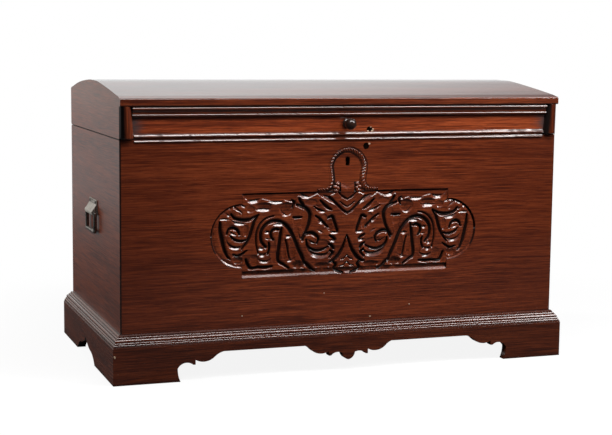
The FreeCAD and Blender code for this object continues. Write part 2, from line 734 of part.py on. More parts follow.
def lid_rails():
    front = new_body("lid_front_rail", "0", MIDDLE, LID)
    section = new_sketch(front, "YZ_Plane", "front_rail_section")
    face = f"-{HALF}"
    inner = f"-{HALF} + board"
    draw(section, (face, "0"), (inner, "0"), (inner, under_lip("board")), (face, under_lip("0")))
    pad(front, section, "carcase_width", both=True)
    mitre = new_sketch(front, "XY_Plane", "front_rail_mitre")
    for sign in (1, -1):
        out = f"{sign} * ({SIDE} + {CUT_MARGIN})"
        tip = f"{sign} * ({SIDE} - board - {CUT_MARGIN})"
        back = f"{inner} + {CUT_MARGIN}"
        draw(mitre, (out, f"{face} - {CUT_MARGIN}"), (out, back), (tip, back))
    pocket(front, mitre, "lid_edge + dome_rise", back=True)
    socket = new_sketch(front, "XZ_Plane", "knob_socket", HALF)
    draw_circle(socket, "-knob_shift", "knob_lift", "knob_tenon + running_fit")
    pocket(front, socket, "tenon_length")
    bed = new_sketch(front, "XY_Plane", "link_bed")
    long = "(link_length / 2 + loose_fit)"
    near = f"({STAPLE_Y} - {MIDDLE} - staple_width / 2 - loose_fit)"
    draw(bed, *rectangle(f"-{long}", near, long, f"{near} + staple_width + 2 * loose_fit"))
    pocket(front, bed, "link_thickness + loose_fit", back=True)

    back = new_body("lid_back_rail", "0", MIDDLE, LID)
    section = new_sketch(back, "YZ_Plane", "back_rail_section")
    inner = f"{HALF} - board"
    draw(section, (inner, "0"), (HALF, "0"), (HALF, under_back("0")), (inner, under_back("board")))
    pad(back, section, "carcase_width", both=True)
    cut_stop_bevel(back, HALF, "0", 1)
    cut_hinge_beds(back, HALF, "0", 1)


def lid_gable(hand, sign):
    body = new_body(f"lid_{hand}_gable", f"{sign} * {SIDE}", MIDDLE, LID)
    outline = new_sketch(body, "YZ_Plane", f"{hand}_gable_outline")
    back = f"{HALF} - board"
    joints = [dome_point(joint, INNER) for joint in range(STAVE_COUNT - 1, 0, -1)]
    ends = (f"-{HALF}", under_lip("0")), (f"-{HALF}", "0"), (back, "0"), (back, under_back("board"))
    draw(outline, *ends, *joints)
    pad(body, outline, "board", back=sign > 0)
    mitre = new_sketch(body, "XY_Plane", f"{hand}_gable_mitre")
    deep = f"{-sign} * (board + {CUT_MARGIN})"
    front = f"-{HALF} - {CUT_MARGIN}"
    draw(mitre, (f"{sign} * {CUT_MARGIN}", front), (deep, front), (deep, f"-{HALF} + board + {CUT_MARGIN}"))
    pocket(body, mitre, "lid_edge + dome_rise", back=True)


def lid_staves():
    lip = f"({HALF} + lip_overhang)"
    for index in range(STAVE_COUNT):
        body = new_body(f"lid_stave_{index + 1}", "0", MIDDLE, LID)
        section = new_sketch(body, "YZ_Plane", f"stave_{index + 1}_section")
        low_front, high_front = dome_point(index, INNER), dome_point(index, DOME)
        low_back, high_back = dome_point(index + 1, INNER), dome_point(index + 1, DOME)
        if index == 0:
            low_front = f"-{lip}", under_lip("-lip_overhang")
            high_front = f"-{lip}", f"{DOME_MIDDLE} + sqrt({DOME}^2 - {lip}^2)"
        if index == STAVE_COUNT - 1:
            low_back = HALF, under_back("0")
            high_back = HALF, "lid_edge"
        draw(section, low_front, low_back, (*high_back, DOME), high_front)
        pad(body, section, "carcase_width", both=True)
        if index == 0:
            nose = -number_of(lip)
            round_edges(body, "lip_round", lambda point: abs(point.y - nose) < 0.01 and abs(point.x) < 1)


def lid_mouldings():
    top = under_lip("0")
    low = f"({top} - bed_height)"
    body = new_body("lid_bed_moulding", "0", FRONT, LID)
    section = new_sketch(body, "YZ_Plane", "bed_section")
    fillet_low = f"{low} + bed_bead"
    hollow_low = f"{fillet_low} + bed_fillet"
    upper_low = f"{hollow_low} + bed_hollow"
    draw(
        section,
        ("0", top),
        ("0", low),
        ("-bed_toe", low, "-bed_bead_radius"),
        ("-bed_toe", fillet_low),
        ("-(bed_toe + quirk)", fillet_low),
        ("-(bed_toe + quirk)", hollow_low, "bed_hollow"),
        ("-bed_reach", upper_low, "-bed_bead_radius"),
        ("-bed_reach", f"{upper_low} + bed_bead"),
        ("-bed_reach", under_lip("-bed_reach")),
    )
    post_here = f"(post_width - (post_width - post_top) * {low} / {top})"
    pad(body, section, f"carcase_width - 2 * {post_here}", both=True)

    bead = new_body("lid_foot_bead", "0", FRONT, LID)
    section = new_sketch(bead, "YZ_Plane", "foot_bead_section")
    draw(section, *half_round("lid_bead", "lid_bead_reach", "lid_bead_lift"))
    pad(bead, section, "carcase_width - 2 * post_width", both=True)

    for hand, sign in CORNERS:
        post = new_body(f"lid_{hand}_post", f"{sign} * {SIDE}", FRONT, LID)
        foot = new_sketch(post, "XY_Plane", f"{hand}_post_foot")
        draw(foot, *post_section("post_width", -sign))
        head = new_sketch(post, "XY_Plane", f"{hand}_post_head", top)
        draw(head, *post_section("post_top", -sign))
        taper = post.newObject("PartDesign::AdditiveLoft", f"{hand}_post_taper")
        taper.Profile = foot
        taper.Sections = [head]
        taper.Ruled = True
        doc.recompute()
        slope = new_sketch(post, "YZ_Plane", f"{hand}_post_slope")
        out = f"post_reach + {CUT_MARGIN}"
        draw(slope, ("0", top), (f"-({out})", top), (f"-({out})", under_lip(f"-({out})")))
        pocket(post, slope, f"2 * post_width + {CUT_MARGIN}", both=True)
        round_edges(post, "post_round", lambda point: abs(point.z) < 0.01 and point.y < -1)


def post_section(width, inward):
    """Half-round section against the lid's face, from the lid's end towards its middle."""
    radius = f"(({width}^2 / 4 + post_reach^2) / (2 * post_reach))"
    left, right = ("0", width) if inward > 0 else (f"-{width}", "0")
    return (left, "0", radius), (f"{inward} * {width} / 2", "-post_reach", radius), (right, "0")


def lid_knob():
    body = new_body("lid_knob", "-knob_shift", FRONT, f"{LID} + knob_lift")
    section = new_sketch(body, "YZ_Plane", "knob_section")
    middle = "(knob_reach - knob_radius)"
    neck_end = f"{middle} - sqrt(knob_radius^2 - knob_neck^2)"
    draw(
        section,
        ("tenon_length", "0"),
        ("tenon_length", "knob_tenon"),
        ("0", "knob_tenon"),
        ("0", "knob_collar"),
        ("-collar_thickness", "knob_collar", "-knob_neck"),
        (f"-({neck_end})", "knob_neck", "knob_radius"),
        (f"-{middle}", "knob_radius", "knob_radius"),
        ("-knob_reach", "0"),
    )
    turned = body.newObject("PartDesign::Revolution", "knob_turned")
    turned.Profile = section
    turned.ReferenceAxis = (section, ["H_Axis"])
    turned.Angle = 360
    doc.recompute()


# Hinges


def hinges():
    outer = "(hinge_length - hinge_middle) / 2"
    gap_radius = "knuckle_radius + knuckle_gap"
    chest_screws, lid_screws = [], []
    for hand, sign in CORNERS:
        middle = f"{sign} * {HINGE}"
        start = f"{middle} - hinge_length / 2"
        inner_y = f"{AXIS_Y} - leaf_width"
        chest_face = "(body_top - leaf_sink)"
        lid_face = f"({LID} + leaf_sink)"
        across = [number_of(f"{middle} + {side} * hinge_length / 3") for side in (-1, 0, 1)]
        line_y = number_of(f"{AXIS_Y} - leaf_width * 0.6")
        here_chest = [FreeCAD.Vector(x, line_y, number_of(chest_face)) for x in across]
        here_lid = [FreeCAD.Vector(x, line_y, number_of(lid_face)) for x in across]
        chest_screws += here_chest
        lid_screws += here_lid

        leaf = "hinge_length", "leaf_width", "leaf_thickness"
        plate = block(start, inner_y, f"{chest_face} - leaf_thickness", *leaf)
        barrel = rod_along_x(middle, AXIS_Y, AXIS_Z, "knuckle_radius", "hinge_length")
        gap = rod_along_x(middle, AXIS_Y, AXIS_Z, gap_radius, "hinge_middle + 2 * knuckle_gap")
        bore_length = f"hinge_length + {CUT_MARGIN}"
        bore = rod_along_x(middle, AXIS_Y, AXIS_Z, "pin_radius + running_fit / 2", bore_length)
        holes = shape_piece(screw_holes(here_chest, -Z_AXIS))
        keep(cut(fuse(plate, barrel), gap, bore, holes), f"{hand}_hinge_chest_leaf")

        plate = block(start, inner_y, lid_face, *leaf)
        barrel = rod_along_x(middle, AXIS_Y, AXIS_Z, "knuckle_radius", "hinge_middle")
        bore = rod_along_x(middle, AXIS_Y, AXIS_Z, "pin_radius + running_fit", bore_length)
        gaps = []
        for side in (-1, 1):
            gap_middle = f"{middle} + {side} * (hinge_length + hinge_middle) / 4"
            gaps.append(rod_along_x(gap_middle, AXIS_Y, AXIS_Z, gap_radius, outer))
        holes = shape_piece(screw_holes(here_lid, Z_AXIS))
        keep(cut(fuse(cut(plate, *gaps), barrel), bore, holes), f"{hand}_hinge_lid_leaf")

        keep(rod_along_x(middle, AXIS_Y, AXIS_Z, "pin_radius", "hinge_length"), f"{hand}_hinge_pin")
    shape_piece(sunk_screws(chest_screws, -Z_AXIS), "hinge_chest_screws")
    shape_piece(sunk_screws(lid_screws, Z_AXIS), "hinge_lid_screws")


def sunk_screws(spots, direction, grow=0):
    head = number_of("screw_head") + grow
    shank = number_of("screw_radius") + grow
    deep = number_of("leaf_thickness")
    return fasteners(spots, direction, head, deep, shank, number_of("screw_length"), True)


def screw_holes(spots, direction):
    return sunk_screws(spots, direction, number_of("running_fit"))


# Lock


def lock():
    body_low = "(body_top - lock_height)"
    solid = block("-lock_width / 2", LOCK_Y, body_low, "lock_width", "lock_thickness", "lock_height")
    bolt_z = "(body_top - bolt_drop)"
    tip = "(-staple_thickness / 2 - staple_gap)"
    channel = block(
        f"{tip} - bolt_length - slide_gap",
        f"{STAPLE_Y} - bolt_width / 2 - slide_gap",
        f"{bolt_z} - bolt_depth / 2 - slide_gap",
        "bolt_length + bolt_travel + 2 * slide_gap",
        "bolt_width + 2 * slide_gap",
        "bolt_depth + 2 * slide_gap",
    )
    well = block(
        "-staple_thickness / 2 - staple_gap",
        f"{STAPLE_Y} - staple_width / 2 - staple_gap",
        "body_top - staple_drop - staple_gap",
        "staple_thickness + 2 * staple_gap",
        "staple_width + 2 * staple_gap",
        f"staple_drop + staple_gap + {CUT_MARGIN}",
    )
    front = new_body("key_way", "0", LOCK_Y, KEYHOLE)
    pieces.remove(front)
    outline = new_sketch(front, "XZ_Plane", "key_way_outline")
    draw(outline, *keyhole_outline("0", "0"))
    pad(front, outline, "lock_thickness", back=True)
    inner_face = number_of(f"{LOCK_Y} + lock_thickness")
    screw_spots = [
        FreeCAD.Vector(side * number_of("lock_width / 2 - 2 * nail_head"), inner_face, number_of(high))
        for side in (-1, 1)
        for high in ("body_top - 3 * nail_head", f"{body_low} + 2 * nail_head")
    ]
    holes = shape_piece(lock_screw_shape(screw_spots, number_of("running_fit")))
    keep(cut(solid, channel, well, front, holes), "lock_case")
    shape_piece(lock_screw_shape(screw_spots, 0), "lock_screws")
    bolt = block(
        f"{tip} - bolt_length",
        f"{STAPLE_Y} - bolt_width / 2",
        f"{bolt_z} - bolt_depth / 2",
        "bolt_length",
        "bolt_width",
        "bolt_depth",
    )
    keep(bolt, "lock_bolt")


def lock_screw_shape(spots, grow):
    head = number_of("screw_head") + grow
    shank = number_of("screw_radius") + grow
    sizes = number_of("head_thickness"), shank, number_of("lock_screw_length")
    return fasteners(spots, -Y_AXIS, head, *sizes, False)


def link_plate():
    plate = block(
        "-link_length / 2",
        f"{STAPLE_Y} - staple_width / 2",
        f"{LID} + loose_fit",
        "link_length",
        "staple_width",
        "link_thickness",
    )
    staple = block(
        "-staple_thickness / 2",
        f"{STAPLE_Y} - staple_width / 2",
        "body_top - staple_drop",
        "staple_thickness",
        "staple_width",
        "staple_drop + lid_gap + loose_fit + link_thickness / 2",
    )
    eye = block(
        f"-staple_thickness / 2 - {CUT_MARGIN}",
        f"{STAPLE_Y} - bolt_width / 2 - slide_gap",
        "body_top - bolt_drop - bolt_depth / 2 - staple_gap",
        f"staple_thickness + {2 * CUT_MARGIN}",
        "bolt_width + 2 * slide_gap",
        "bolt_depth + 2 * staple_gap",
    )
    face = number_of(f"{LID} + loose_fit")
    across = number_of("link_length / 3")
    spots = [FreeCAD.Vector(side * across, number_of(STAPLE_Y), face) for side in (-1, 1)]
    holes = shape_piece(screw_holes(spots, Z_AXIS))
    keep(cut(fuse(plate, staple), eye, holes), "link_plate")
    shape_piece(sunk_screws(spots, Z_AXIS), "link_screws")


# Handles


def handle(hand, sign):
    turn = 0 if sign > 0 else 180
    strap = new_body(f"{hand}_handle_strap", f"{sign} * {SIDE}", MIDDLE, "handle_height", turn)
    section = new_sketch(strap, "XZ_Plane", f"{hand}_strap_section")
    draw(
        section,
        ("0", "0"),
        ("0", "strap_top"),
        ("strap_thickness", "strap_top"),
        ("strap_thickness", "strap_bend"),
        ("strap_roll * 1.5", "strap_roll * sqrt(3) / 2", "-strap_roll"),
        ("strap_roll * 2", "0", "-strap_roll"),
        ("strap_roll", "-strap_roll", "-strap_roll"),
    )
    draw_circle(section, "strap_roll", "0", "bail_radius + running_fit")
    pad(strap, section, STRAP_WIDTH, both=True)
    nail_holes = new_sketch(strap, "YZ_Plane", f"{hand}_nail_holes")
    for side in (-1, 1):
        draw_circle(nail_holes, f"{side} * nail_spacing / 2", "nail_height", "nail_radius + running_fit")
    pocket(strap, nail_holes, "strap_thickness", back=True)

    bail = new_body(f"{hand}_bail", f"{sign} * ({SIDE} + strap_roll)", MIDDLE, "handle_height", turn)
    path = new_sketch(bail, "YZ_Plane", f"{hand}_bail_path")
    leg = "bail_width / 2"
    near = f"({leg} - bail_bend)"
    bend = "bail_bend"
    draw(
        path,
        ("0", "0"),
        (near, "0", f"-{bend}"),
        (leg, f"-{bend}"),
        (leg, f"-bail_drop + {bend}", f"-{bend}"),
        (near, "-bail_drop"),
        (f"-{near}", "-bail_drop", f"-{bend}"),
        (f"-{leg}", f"-bail_drop + {bend}"),
        (f"-{leg}", f"-{bend}", f"-{bend}"),
        (f"-{near}", "0"),
    )
    bar = new_sketch(bail, "XZ_Plane", f"{hand}_bail_bar")
    draw_circle(bar, "0", "0", "bail_radius")
    loop = bail.newObject("PartDesign::AdditivePipe", f"{hand}_bail_loop")
    loop.Profile = bar
    loop.Spine = path
    doc.recompute()


def handle_nails():
    spots = []
    for hand, sign in CORNERS:
        inward = X_AXIS * -sign
        x = sign * number_of(f"{SIDE} + strap_thickness")
        y, z = number_of(MIDDLE), number_of("handle_height + nail_height")
        across = number_of("nail_spacing / 2")
        spots += [(FreeCAD.Vector(x, y + side * across, z), inward) for side in (-1, 1)]
    sizes = [number_of(name) for name in ("nail_head", "head_thickness", "nail_radius", "nail_length")]
    nails = [fasteners([spot], inward, *sizes, False) for spot, inward in spots]
    shape_piece(Part.makeCompound([solid for nail in nails for solid in nail.Solids]), "handle_nails")


# Carved panel and keyhole surround


def carved_panel():
    body = new_body("carved_panel", "0", f"{FRONT} + recess_depth", PANEL_MIDDLE)
    blank = new_sketch(body, "XZ_Plane", "panel_blank")
    draw(blank, *panel_outline("0", "loose_fit"))
    pad(body, blank, "panel_thickness")
    cuts = []
    for name, outlines, depth in (
        ("scroll_channels", scroll_channels(), "channel_depth"),
        ("leaf_bowls", leaf_bowls(), "bowl_depth"),
        ("border_ground", border_ground(), "border_depth"),
    ):
        carving = new_sketch(body, "XZ_Plane", name, "panel_thickness")
        for outline in outlines:
            draw(carving, *outline)
        if name == "leaf_bowls":
            draw_circle(carving, "151", "58", "16")
            draw_circle(carving, "149", "57", "6.5")
        cuts.append(pocket(body, carving, depth))
    mirror(body, cuts)


def scroll_channels():
    """Channels of the right half, in millimetres from the panel's middle."""
    outer, inner = "(panel_end - end_band)", "(panel_end - end_band - end_groove)"
    band = (outer, -48), (outer, 40), (inner, 40), (inner, -48)
    turns = [(f"panel_width / 2 + {r} * cos({t} deg)", f"{r} * sin({t} deg)") for r, t in band]
    end_groove = (*turns[0], outer), turns[1], (*turns[2], f"-{inner}"), turns[3]
    strap = (226, 40, 45), (290, 50), (284, 56, -42), (229, 46)
    arch = (
        (103, -69),
        (135, 8, -60),
        (186, 38.5, -37),
        (221.5, 0, -30),
        (206, -32),
        (200, -24, 22),
        (210.5, 0, 26),
        (186, 27.5, 50),
        (147, 3),
        (111, -71),
    )
    leaf_edge = (122, 74, 32), (90, 45, 50), (102, 10), (109, 13, -48), (98, 45, -24), (122, 66)
    volute = (113, -12, 22), (70, -18), (77, -18, -15.5), (106.5, -14)
    drop = (-0.5, -2), (-0.5, -10, 170), (34, -71), (43, -67, -170)
    collar = (-0.5, 42), (46, 84), (42, 90), (-0.5, 50)
    stem = (166, -66), (178, -66), (174, 0), (166, 2)
    return end_groove, strap, arch, leaf_edge, volute, drop, collar, stem


def leaf_bowls():
    """Bowls of the right half: each is bounded by two arcs, or by an arc and a straight edge."""
    lenses = (
        (189, 229, 62, 24),
        (209, 231, -31, 14),
        (195, 226, -47, 20),
        (184, 220, -65, 24),
        (112, 142, -78, 20),
        (50, 82, -78, 26),
        (255, 287, 63, 26),
        (58, 75, 51, 12),
    )
    bowls = [((left, high, radius), (right, high, radius)) for left, right, high, radius in lenses]
    return *bowls, ((252, -13, 25), (299, -13)), ((36, -37, 36), (104, -37))


def border_ground():
    """Ground sunk along the panel's top, with a wavy lower edge."""
    end, high = f"panel_width / 2 + {CUT_MARGIN}", f"panel_height / 2 + {CUT_MARGIN}"
    wave = (66, 84, 160), (124, 84, 200), (205, 79, 160)
    return ((*wave, (end, 82), (end, high), (66, high)),)


def keyhole_surround():
    body = new_body("keyhole_surround", "0", f"{FRONT} + surround_depth", PANEL_TOP)
    rim = new_sketch(body, "XZ_Plane", "surround_rim")
    draw(rim, *surround_outline("0", "loose_fit", "loose_fit"))
    pad(body, rim, "rim_relief")
    inside = new_sketch(body, "XZ_Plane", "surround_inside", "rim_relief")
    width = "(surround_rim + loose_fit)"
    neck, ring = f"(surround_neck - {width})", f"(surround_radius - {width})"
    draw(
        inside,
        (f"-{neck}", f"-{CUT_MARGIN}"),
        (neck, f"-{CUT_MARGIN}"),
        (neck, "neck_rise", "-neck_radius"),
        (ring, "surround_rise", ring),
        ("0", f"surround_rise + {ring}", ring),
        (f"-{ring}", "surround_rise", "-neck_radius"),
        (f"-{neck}", "neck_rise"),
    )
    pocket(body, inside, "rim_relief")


def build():
    front_board()
    back_board()
    bottom()
    rim_bead()
    plinth_boards()
    base_mouldings()
    lid_rails()
    lid_staves()
    lid_mouldings()
    lid_knob()
    for hand, sign in CORNERS:
        side_board(hand, sign)
        lid_gable(hand, sign)
        handle(hand, sign)
    handle_nails()
    hinges()
    lock()
    link_plate()
    carved_panel()
    keyhole_surround()
    doc.recompute()


def write():
    for thing in doc.Objects:
        if "Invalid" in thing.State or "Error" in thing.State:
            raise RuntimeError(f"{thing.Label} failed: {thing.State}")
    for piece in pieces:
        if piece.Shape.isNull() or not piece.Shape.isValid() or not piece.Shape.Solids:
            raise RuntimeError(f"{piece.Label} has no valid solid")
    os.makedirs("parts", exist_ok=True)
    for piece in pieces:
        piece.Shape.exportStep(f"parts/{piece.Label}.step")
    print(len(pieces), "pieces in", sum(len(piece.Shape.Solids) for piece in pieces), "solids")


build()
write()
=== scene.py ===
import math

import bmesh
import bpy
import numpy as np
from mathutils import Matrix, Vector


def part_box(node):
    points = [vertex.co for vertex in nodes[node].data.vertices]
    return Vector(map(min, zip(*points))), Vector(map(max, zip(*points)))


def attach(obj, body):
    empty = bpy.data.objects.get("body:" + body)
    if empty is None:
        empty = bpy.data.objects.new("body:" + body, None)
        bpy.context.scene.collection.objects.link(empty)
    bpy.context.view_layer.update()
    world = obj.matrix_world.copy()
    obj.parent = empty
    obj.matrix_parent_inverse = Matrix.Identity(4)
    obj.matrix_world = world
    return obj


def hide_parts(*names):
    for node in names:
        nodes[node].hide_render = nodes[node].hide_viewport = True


# Looks of the domed chest, in metres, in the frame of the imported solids:
# +X is the chest's right seen from the front, +Y its back and +Z up.

MM = 0.001

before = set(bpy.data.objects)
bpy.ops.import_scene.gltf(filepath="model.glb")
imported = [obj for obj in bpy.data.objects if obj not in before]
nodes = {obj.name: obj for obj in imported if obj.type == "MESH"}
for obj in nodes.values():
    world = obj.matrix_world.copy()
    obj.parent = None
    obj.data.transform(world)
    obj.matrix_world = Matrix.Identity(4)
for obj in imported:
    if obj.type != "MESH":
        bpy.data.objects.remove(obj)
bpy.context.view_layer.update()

HANDS = "left", "right"
STAVES = [f"lid_stave_{index}" for index in range(1, 6)]

front_low, front_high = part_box("front_board")
FACE_Y = front_low.y                      # plane of the carcase's front
SEAM = front_high.z                       # height at which the lid shuts on the chest
panel_low, panel_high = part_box("carved_panel")
CARVED = 7.0                              # depth of the carving, in millimetres
GROUND_Y = panel_low.y + CARVED * MM      # plane that the carving rises from
PANEL_MIDDLE = (panel_low.z + panel_high.z) / 2
rim_low, rim_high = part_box("keyhole_surround")
RIM_DEPTH = (rim_high.y - FACE_Y) / MM    # depth of the sinking that the keyhole's rim lies in


# Node trees


class Nodes:
    """Shorthand for building one node tree."""

    def __init__(self, tree):
        self.tree = tree
        tree.nodes.clear()

    def feed(self, socket, value):
        if isinstance(value, bpy.types.NodeSocket):
            self.tree.links.new(value, socket)
        else:
            socket.default_value = value

    def add(self, kind, inputs=None, output=0, **settings):
        node = self.tree.nodes.new("ShaderNode" + kind)
        for name, value in settings.items():
            setattr(node, name, value)
        for name, value in (inputs or {}).items():
            self.feed(node.inputs[name], value)
        return node.outputs[output] if node.outputs else None

    def math(self, operation, a, b=0.0):
        return self.add("Math", {0: a, 1: b}, operation=operation)

    def plus(self, a, b):
        return self.math("ADD", a, b)

    def minus(self, a, b):
        return self.math("SUBTRACT", a, b)

    def times(self, a, b):
        return self.math("MULTIPLY", a, b)

    def mix(self, factor, a, b):
        return self.add("Mix", {0: factor, 6: a, 7: b}, 2, data_type="RGBA")

    def place(self):
        """Where a point lies, in its piece's own coordinates."""
        return self.add("TexCoord", output=3)

    def parts(self, vector):
        """The X, Y and Z of a vector."""
        node = self.tree.nodes.new("ShaderNodeSeparateXYZ")
        self.feed(node.inputs[0], vector)
        return node.outputs

    def rays(self):
        """The kinds of ray that a surface can tell apart, by name."""
        return self.tree.nodes.new("ShaderNodeLightPath").outputs

    def noise(self, vector, scale, detail=3.0, roughness=0.55, distortion=0.0):
        inputs = {
            "Vector": vector,
            "Scale": scale,
            "Detail": detail,
            "Roughness": roughness,
            "Distortion": distortion,
        }
        return self.add("TexNoise", inputs)

    def streaks(self, grain, along, across, detail=3.0, roughness=0.55, distortion=0.0):
        """Noise with so many repeats to the metre along the grain and across it."""
        pulled = self.add("VectorMath", {0: grain, 1: (along, across, across)}, operation="MULTIPLY")
        return self.noise(pulled, 1.0, detail, roughness, distortion)

    def between(self, value, low, high):
        """0 at low and 1 at high, smooth between them and level beyond them."""
        inputs = {"Value": value, "From Min": low, "From Max": high}
        return self.add("MapRange", inputs, interpolation_type="SMOOTHSTEP")

    def ramp(self, factor, *stops):
        ramp = self.tree.nodes.new("ShaderNodeValToRGB")
        elements = ramp.color_ramp.elements
        while len(elements) < len(stops):
            elements.new(0.5)
        for element, (place, colour) in zip(elements, stops):
            element.position = place
            element.color = (*colour, 1)
        self.feed(ramp.inputs[0], factor)
        return ramp.outputs[0]

    def hollow(self, distance):
        """How open a point is, from 0 in a tight corner to 1 on a plain face."""
        return self.add("AmbientOcclusion", {"Distance": distance}, 1, samples=6)

    def bump(self, height, strength, distance):
        return self.add("Bump", {"Strength": strength, "Distance": distance, "Height": height})

    def surface(self, inputs):
        shader = self.add("BsdfPrincipled", inputs)
        self.add("OutputMaterial", {"Surface": shader})


def new_material(name):
    material = bpy.data.materials.new(name)
    material.use_nodes = True
    return material, Nodes(material.node_tree)


def grain_vector(build, axis):
    """The piece's coordinates with the wood's grain turned to X, and a slow wander across it."""
    x, y, z = build.parts(build.place())
    along, across, up = {"X": (x, y, z), "Y": (y, z, x), "Z": (z, x, y)}[axis]
    turned = build.add("CombineXYZ", {0: along, 1: across, 2: up})
    wander = build.streaks(turned, 2.2, 6.0, 2.0)
    push = build.times(build.minus(wander, 0.5), 12 * MM)
    shift = build.add("CombineXYZ", {0: 0.0, 1: push, 2: push})
    return build.add("VectorMath", {0: turned, 1: shift}, operation="ADD")


# Colours, and the age and painted shade of the mahogany: each function returns the changed colour and the
# share of varnish left

MAHOGANY_DARK = (0.05, 0.0082, 0.0028)
MAHOGANY_BODY = (0.125, 0.0215, 0.006)
MAHOGANY_LIGHT = (0.21, 0.042, 0.012)
DIRT_AND_SHADE = (0.006, 0.003, 0.0025, 1)
GREY_PATCH = (0.04, 0.033, 0.034, 1)
SPECK = (0.33, 0.24, 0.18, 1)
SOFTWOOD_DIRT_AND_SHADE = (0.02, 0.012, 0.008, 1)
METAL_PIT = (0.02, 0.016, 0.014, 1)


def dirt_and_shade_in_cuts(build, grain, colour):
    """Soiling and painted shade in the depth of the carving, as each vertex's cut says."""
    depth = build.add("Attribute", output=2, attribute_name="cut")
    patchy = build.times(build.minus(build.noise(grain, 160.0, 4.0, 0.7), 0.5), 0.9)
    dirt_and_shade = build.between(build.plus(depth, patchy), 0.3, 0.8)
    colour = build.mix(build.times(dirt_and_shade, 0.95), colour, DIRT_AND_SHADE)
    return colour, build.minus(1.0, build.times(dirt_and_shade, 0.85))


def shaded_left_flank(build, grain, colour):
    """Painted shade on the faces that look to the chest's left."""
    facing_right = build.parts(build.add("NewGeometry", output=1))[0]
    return build.mix(build.between(facing_right, 0.05, -0.5), colour, DIRT_AND_SHADE), 1.0


def shade_towards_ends(build, grain, colour):
    """Wood painted darker towards the chest's two ends as painted shade, with a dark line along its left
    edge.
    """
    across = build.parts(build.place())[0]
    far_out = build.between(build.math("ABSOLUTE", across), 0.2, 0.56)
    colour = build.mix(build.times(far_out, 0.4), colour, (*MAHOGANY_DARK, 1))
    edge = build.between(across, front_low.x + 5.5 * MM, front_low.x + 2 * MM)
    return build.mix(edge, colour, DIRT_AND_SHADE), 1.0


def shaded_seam(build, grain, colour):
    """A line of painted shade where the lid shuts, on the upright faces alone."""
    height = build.parts(build.place())[2]
    off = build.math("ABSOLUTE", build.minus(height, SEAM))
    facing_up = build.math("ABSOLUTE", build.parts(build.add("TexCoord", output=1))[2])
    dirt_and_shade = build.times(build.between(off, 2.2 * MM, 1.0 * MM), build.between(facing_up, 0.9, 0.5))
    return build.mix(dirt_and_shade, colour, DIRT_AND_SHADE), build.minus(1.0, dirt_and_shade)


def grey_rail_ends(build, grain, colour):
    """A ragged grey patch at each end of the rail, beside its post."""
    across = build.math("ABSOLUTE", build.parts(build.place())[0])
    ragged = build.times(build.streaks(grain, 20.0, 90.0), 0.05)
    grey_share = build.between(build.plus(across, ragged), 0.51, 0.545)
    return build.mix(build.times(grey_share, 0.85), colour, GREY_PATCH), 1.0


def worn_varnish(build, grain, colour):
    """Varnish worn off in patches, most of all at the right end."""
    across = build.parts(build.place())[0]
    patch = build.streaks(grain, 45.0, 60.0, 3.0, 0.6)
    right_end = build.times(build.between(across, 0.36, 0.5), 0.12)
    bare = build.between(build.plus(patch, right_end), 0.56, 0.66)
    colour = build.mix(build.times(bare, 0.5), colour, DIRT_AND_SHADE)
    return colour, build.minus(1.0, build.times(bare, 0.8))


# Materials


def mahogany(name, axis, tint=1.0, corner_dirt_and_shade=0.85, reach=0.018, gloss=0.1, shine=1.5, ageing_and_shade=None):
    """Dark varnished mahogany whose grain runs along one axis.

    tint brightens the wood, the next argument is how dark its corners are painted, as painted shade with
    some soiling, and reach how far that comes out of them, in metres. gloss is the varnish's roughness,
    shine its index of refraction, and the last argument one of the functions above, of which some age the
    wood and others paint shade on it.
    """
    material, build = new_material(name)
    grain = grain_vector(build, axis)
    figure = build.streaks(grain, 1.5, 20.0, 4.0, 0.6, 0.6)
    fibre = build.streaks(grain, 9.0, 420.0, 5.0, 0.72)
    pores = build.between(build.streaks(grain, 40.0, 900.0, 2.0, 0.5), 0.44, 0.32)
    tone = build.plus(build.times(figure, 0.25), build.times(fibre, 0.75))
    tones = MAHOGANY_DARK, MAHOGANY_BODY, MAHOGANY_LIGHT
    dark, body, light = (tuple(channel * tint for channel in colour) for colour in tones)
    colour = build.ramp(tone, (0.41, dark), (0.5, body), (0.6, light))
    colour = build.mix(build.times(pores, 0.65), colour, (*dark, 1))
    # Corners are painted darker from the ambient occlusion: painted shade, with the soiling an old chest
    # gathers there.
    shade = build.times(build.between(build.hollow(reach), 0.88, 0.3), corner_dirt_and_shade)
    colour = build.mix(shade, colour, DIRT_AND_SHADE)
    varnish = 1.0
    if ageing_and_shade:
        colour, varnish = ageing_and_shade(build, grain, colour)
    specks = build.between(build.streaks(grain, 180.0, 240.0, 3.0, 0.7), 0.715, 0.76)
    colour = build.mix(build.times(specks, 0.35), colour, SPECK)
    dull = build.streaks(grain, 3.0, 9.0, 4.0)
    open_grain = build.minus(build.times(fibre, 0.5), build.times(pores, 0.5))
    ripple = build.streaks(grain, 5.0, 22.0, 2.0)
    build.surface(
        {
            "Base Color": colour,
            "Roughness": build.plus(build.times(dull, 0.16), 0.3),
            "Specular IOR Level": 0.12,
            "Normal": build.bump(open_grain, 0.35, 0.6 * MM),
            "Coat Weight": varnish,
            "Coat Roughness": gloss,
            "Coat IOR": shine,
            "Coat Normal": build.bump(ripple, 0.2, 1.2 * MM),
        }
    )
    return material


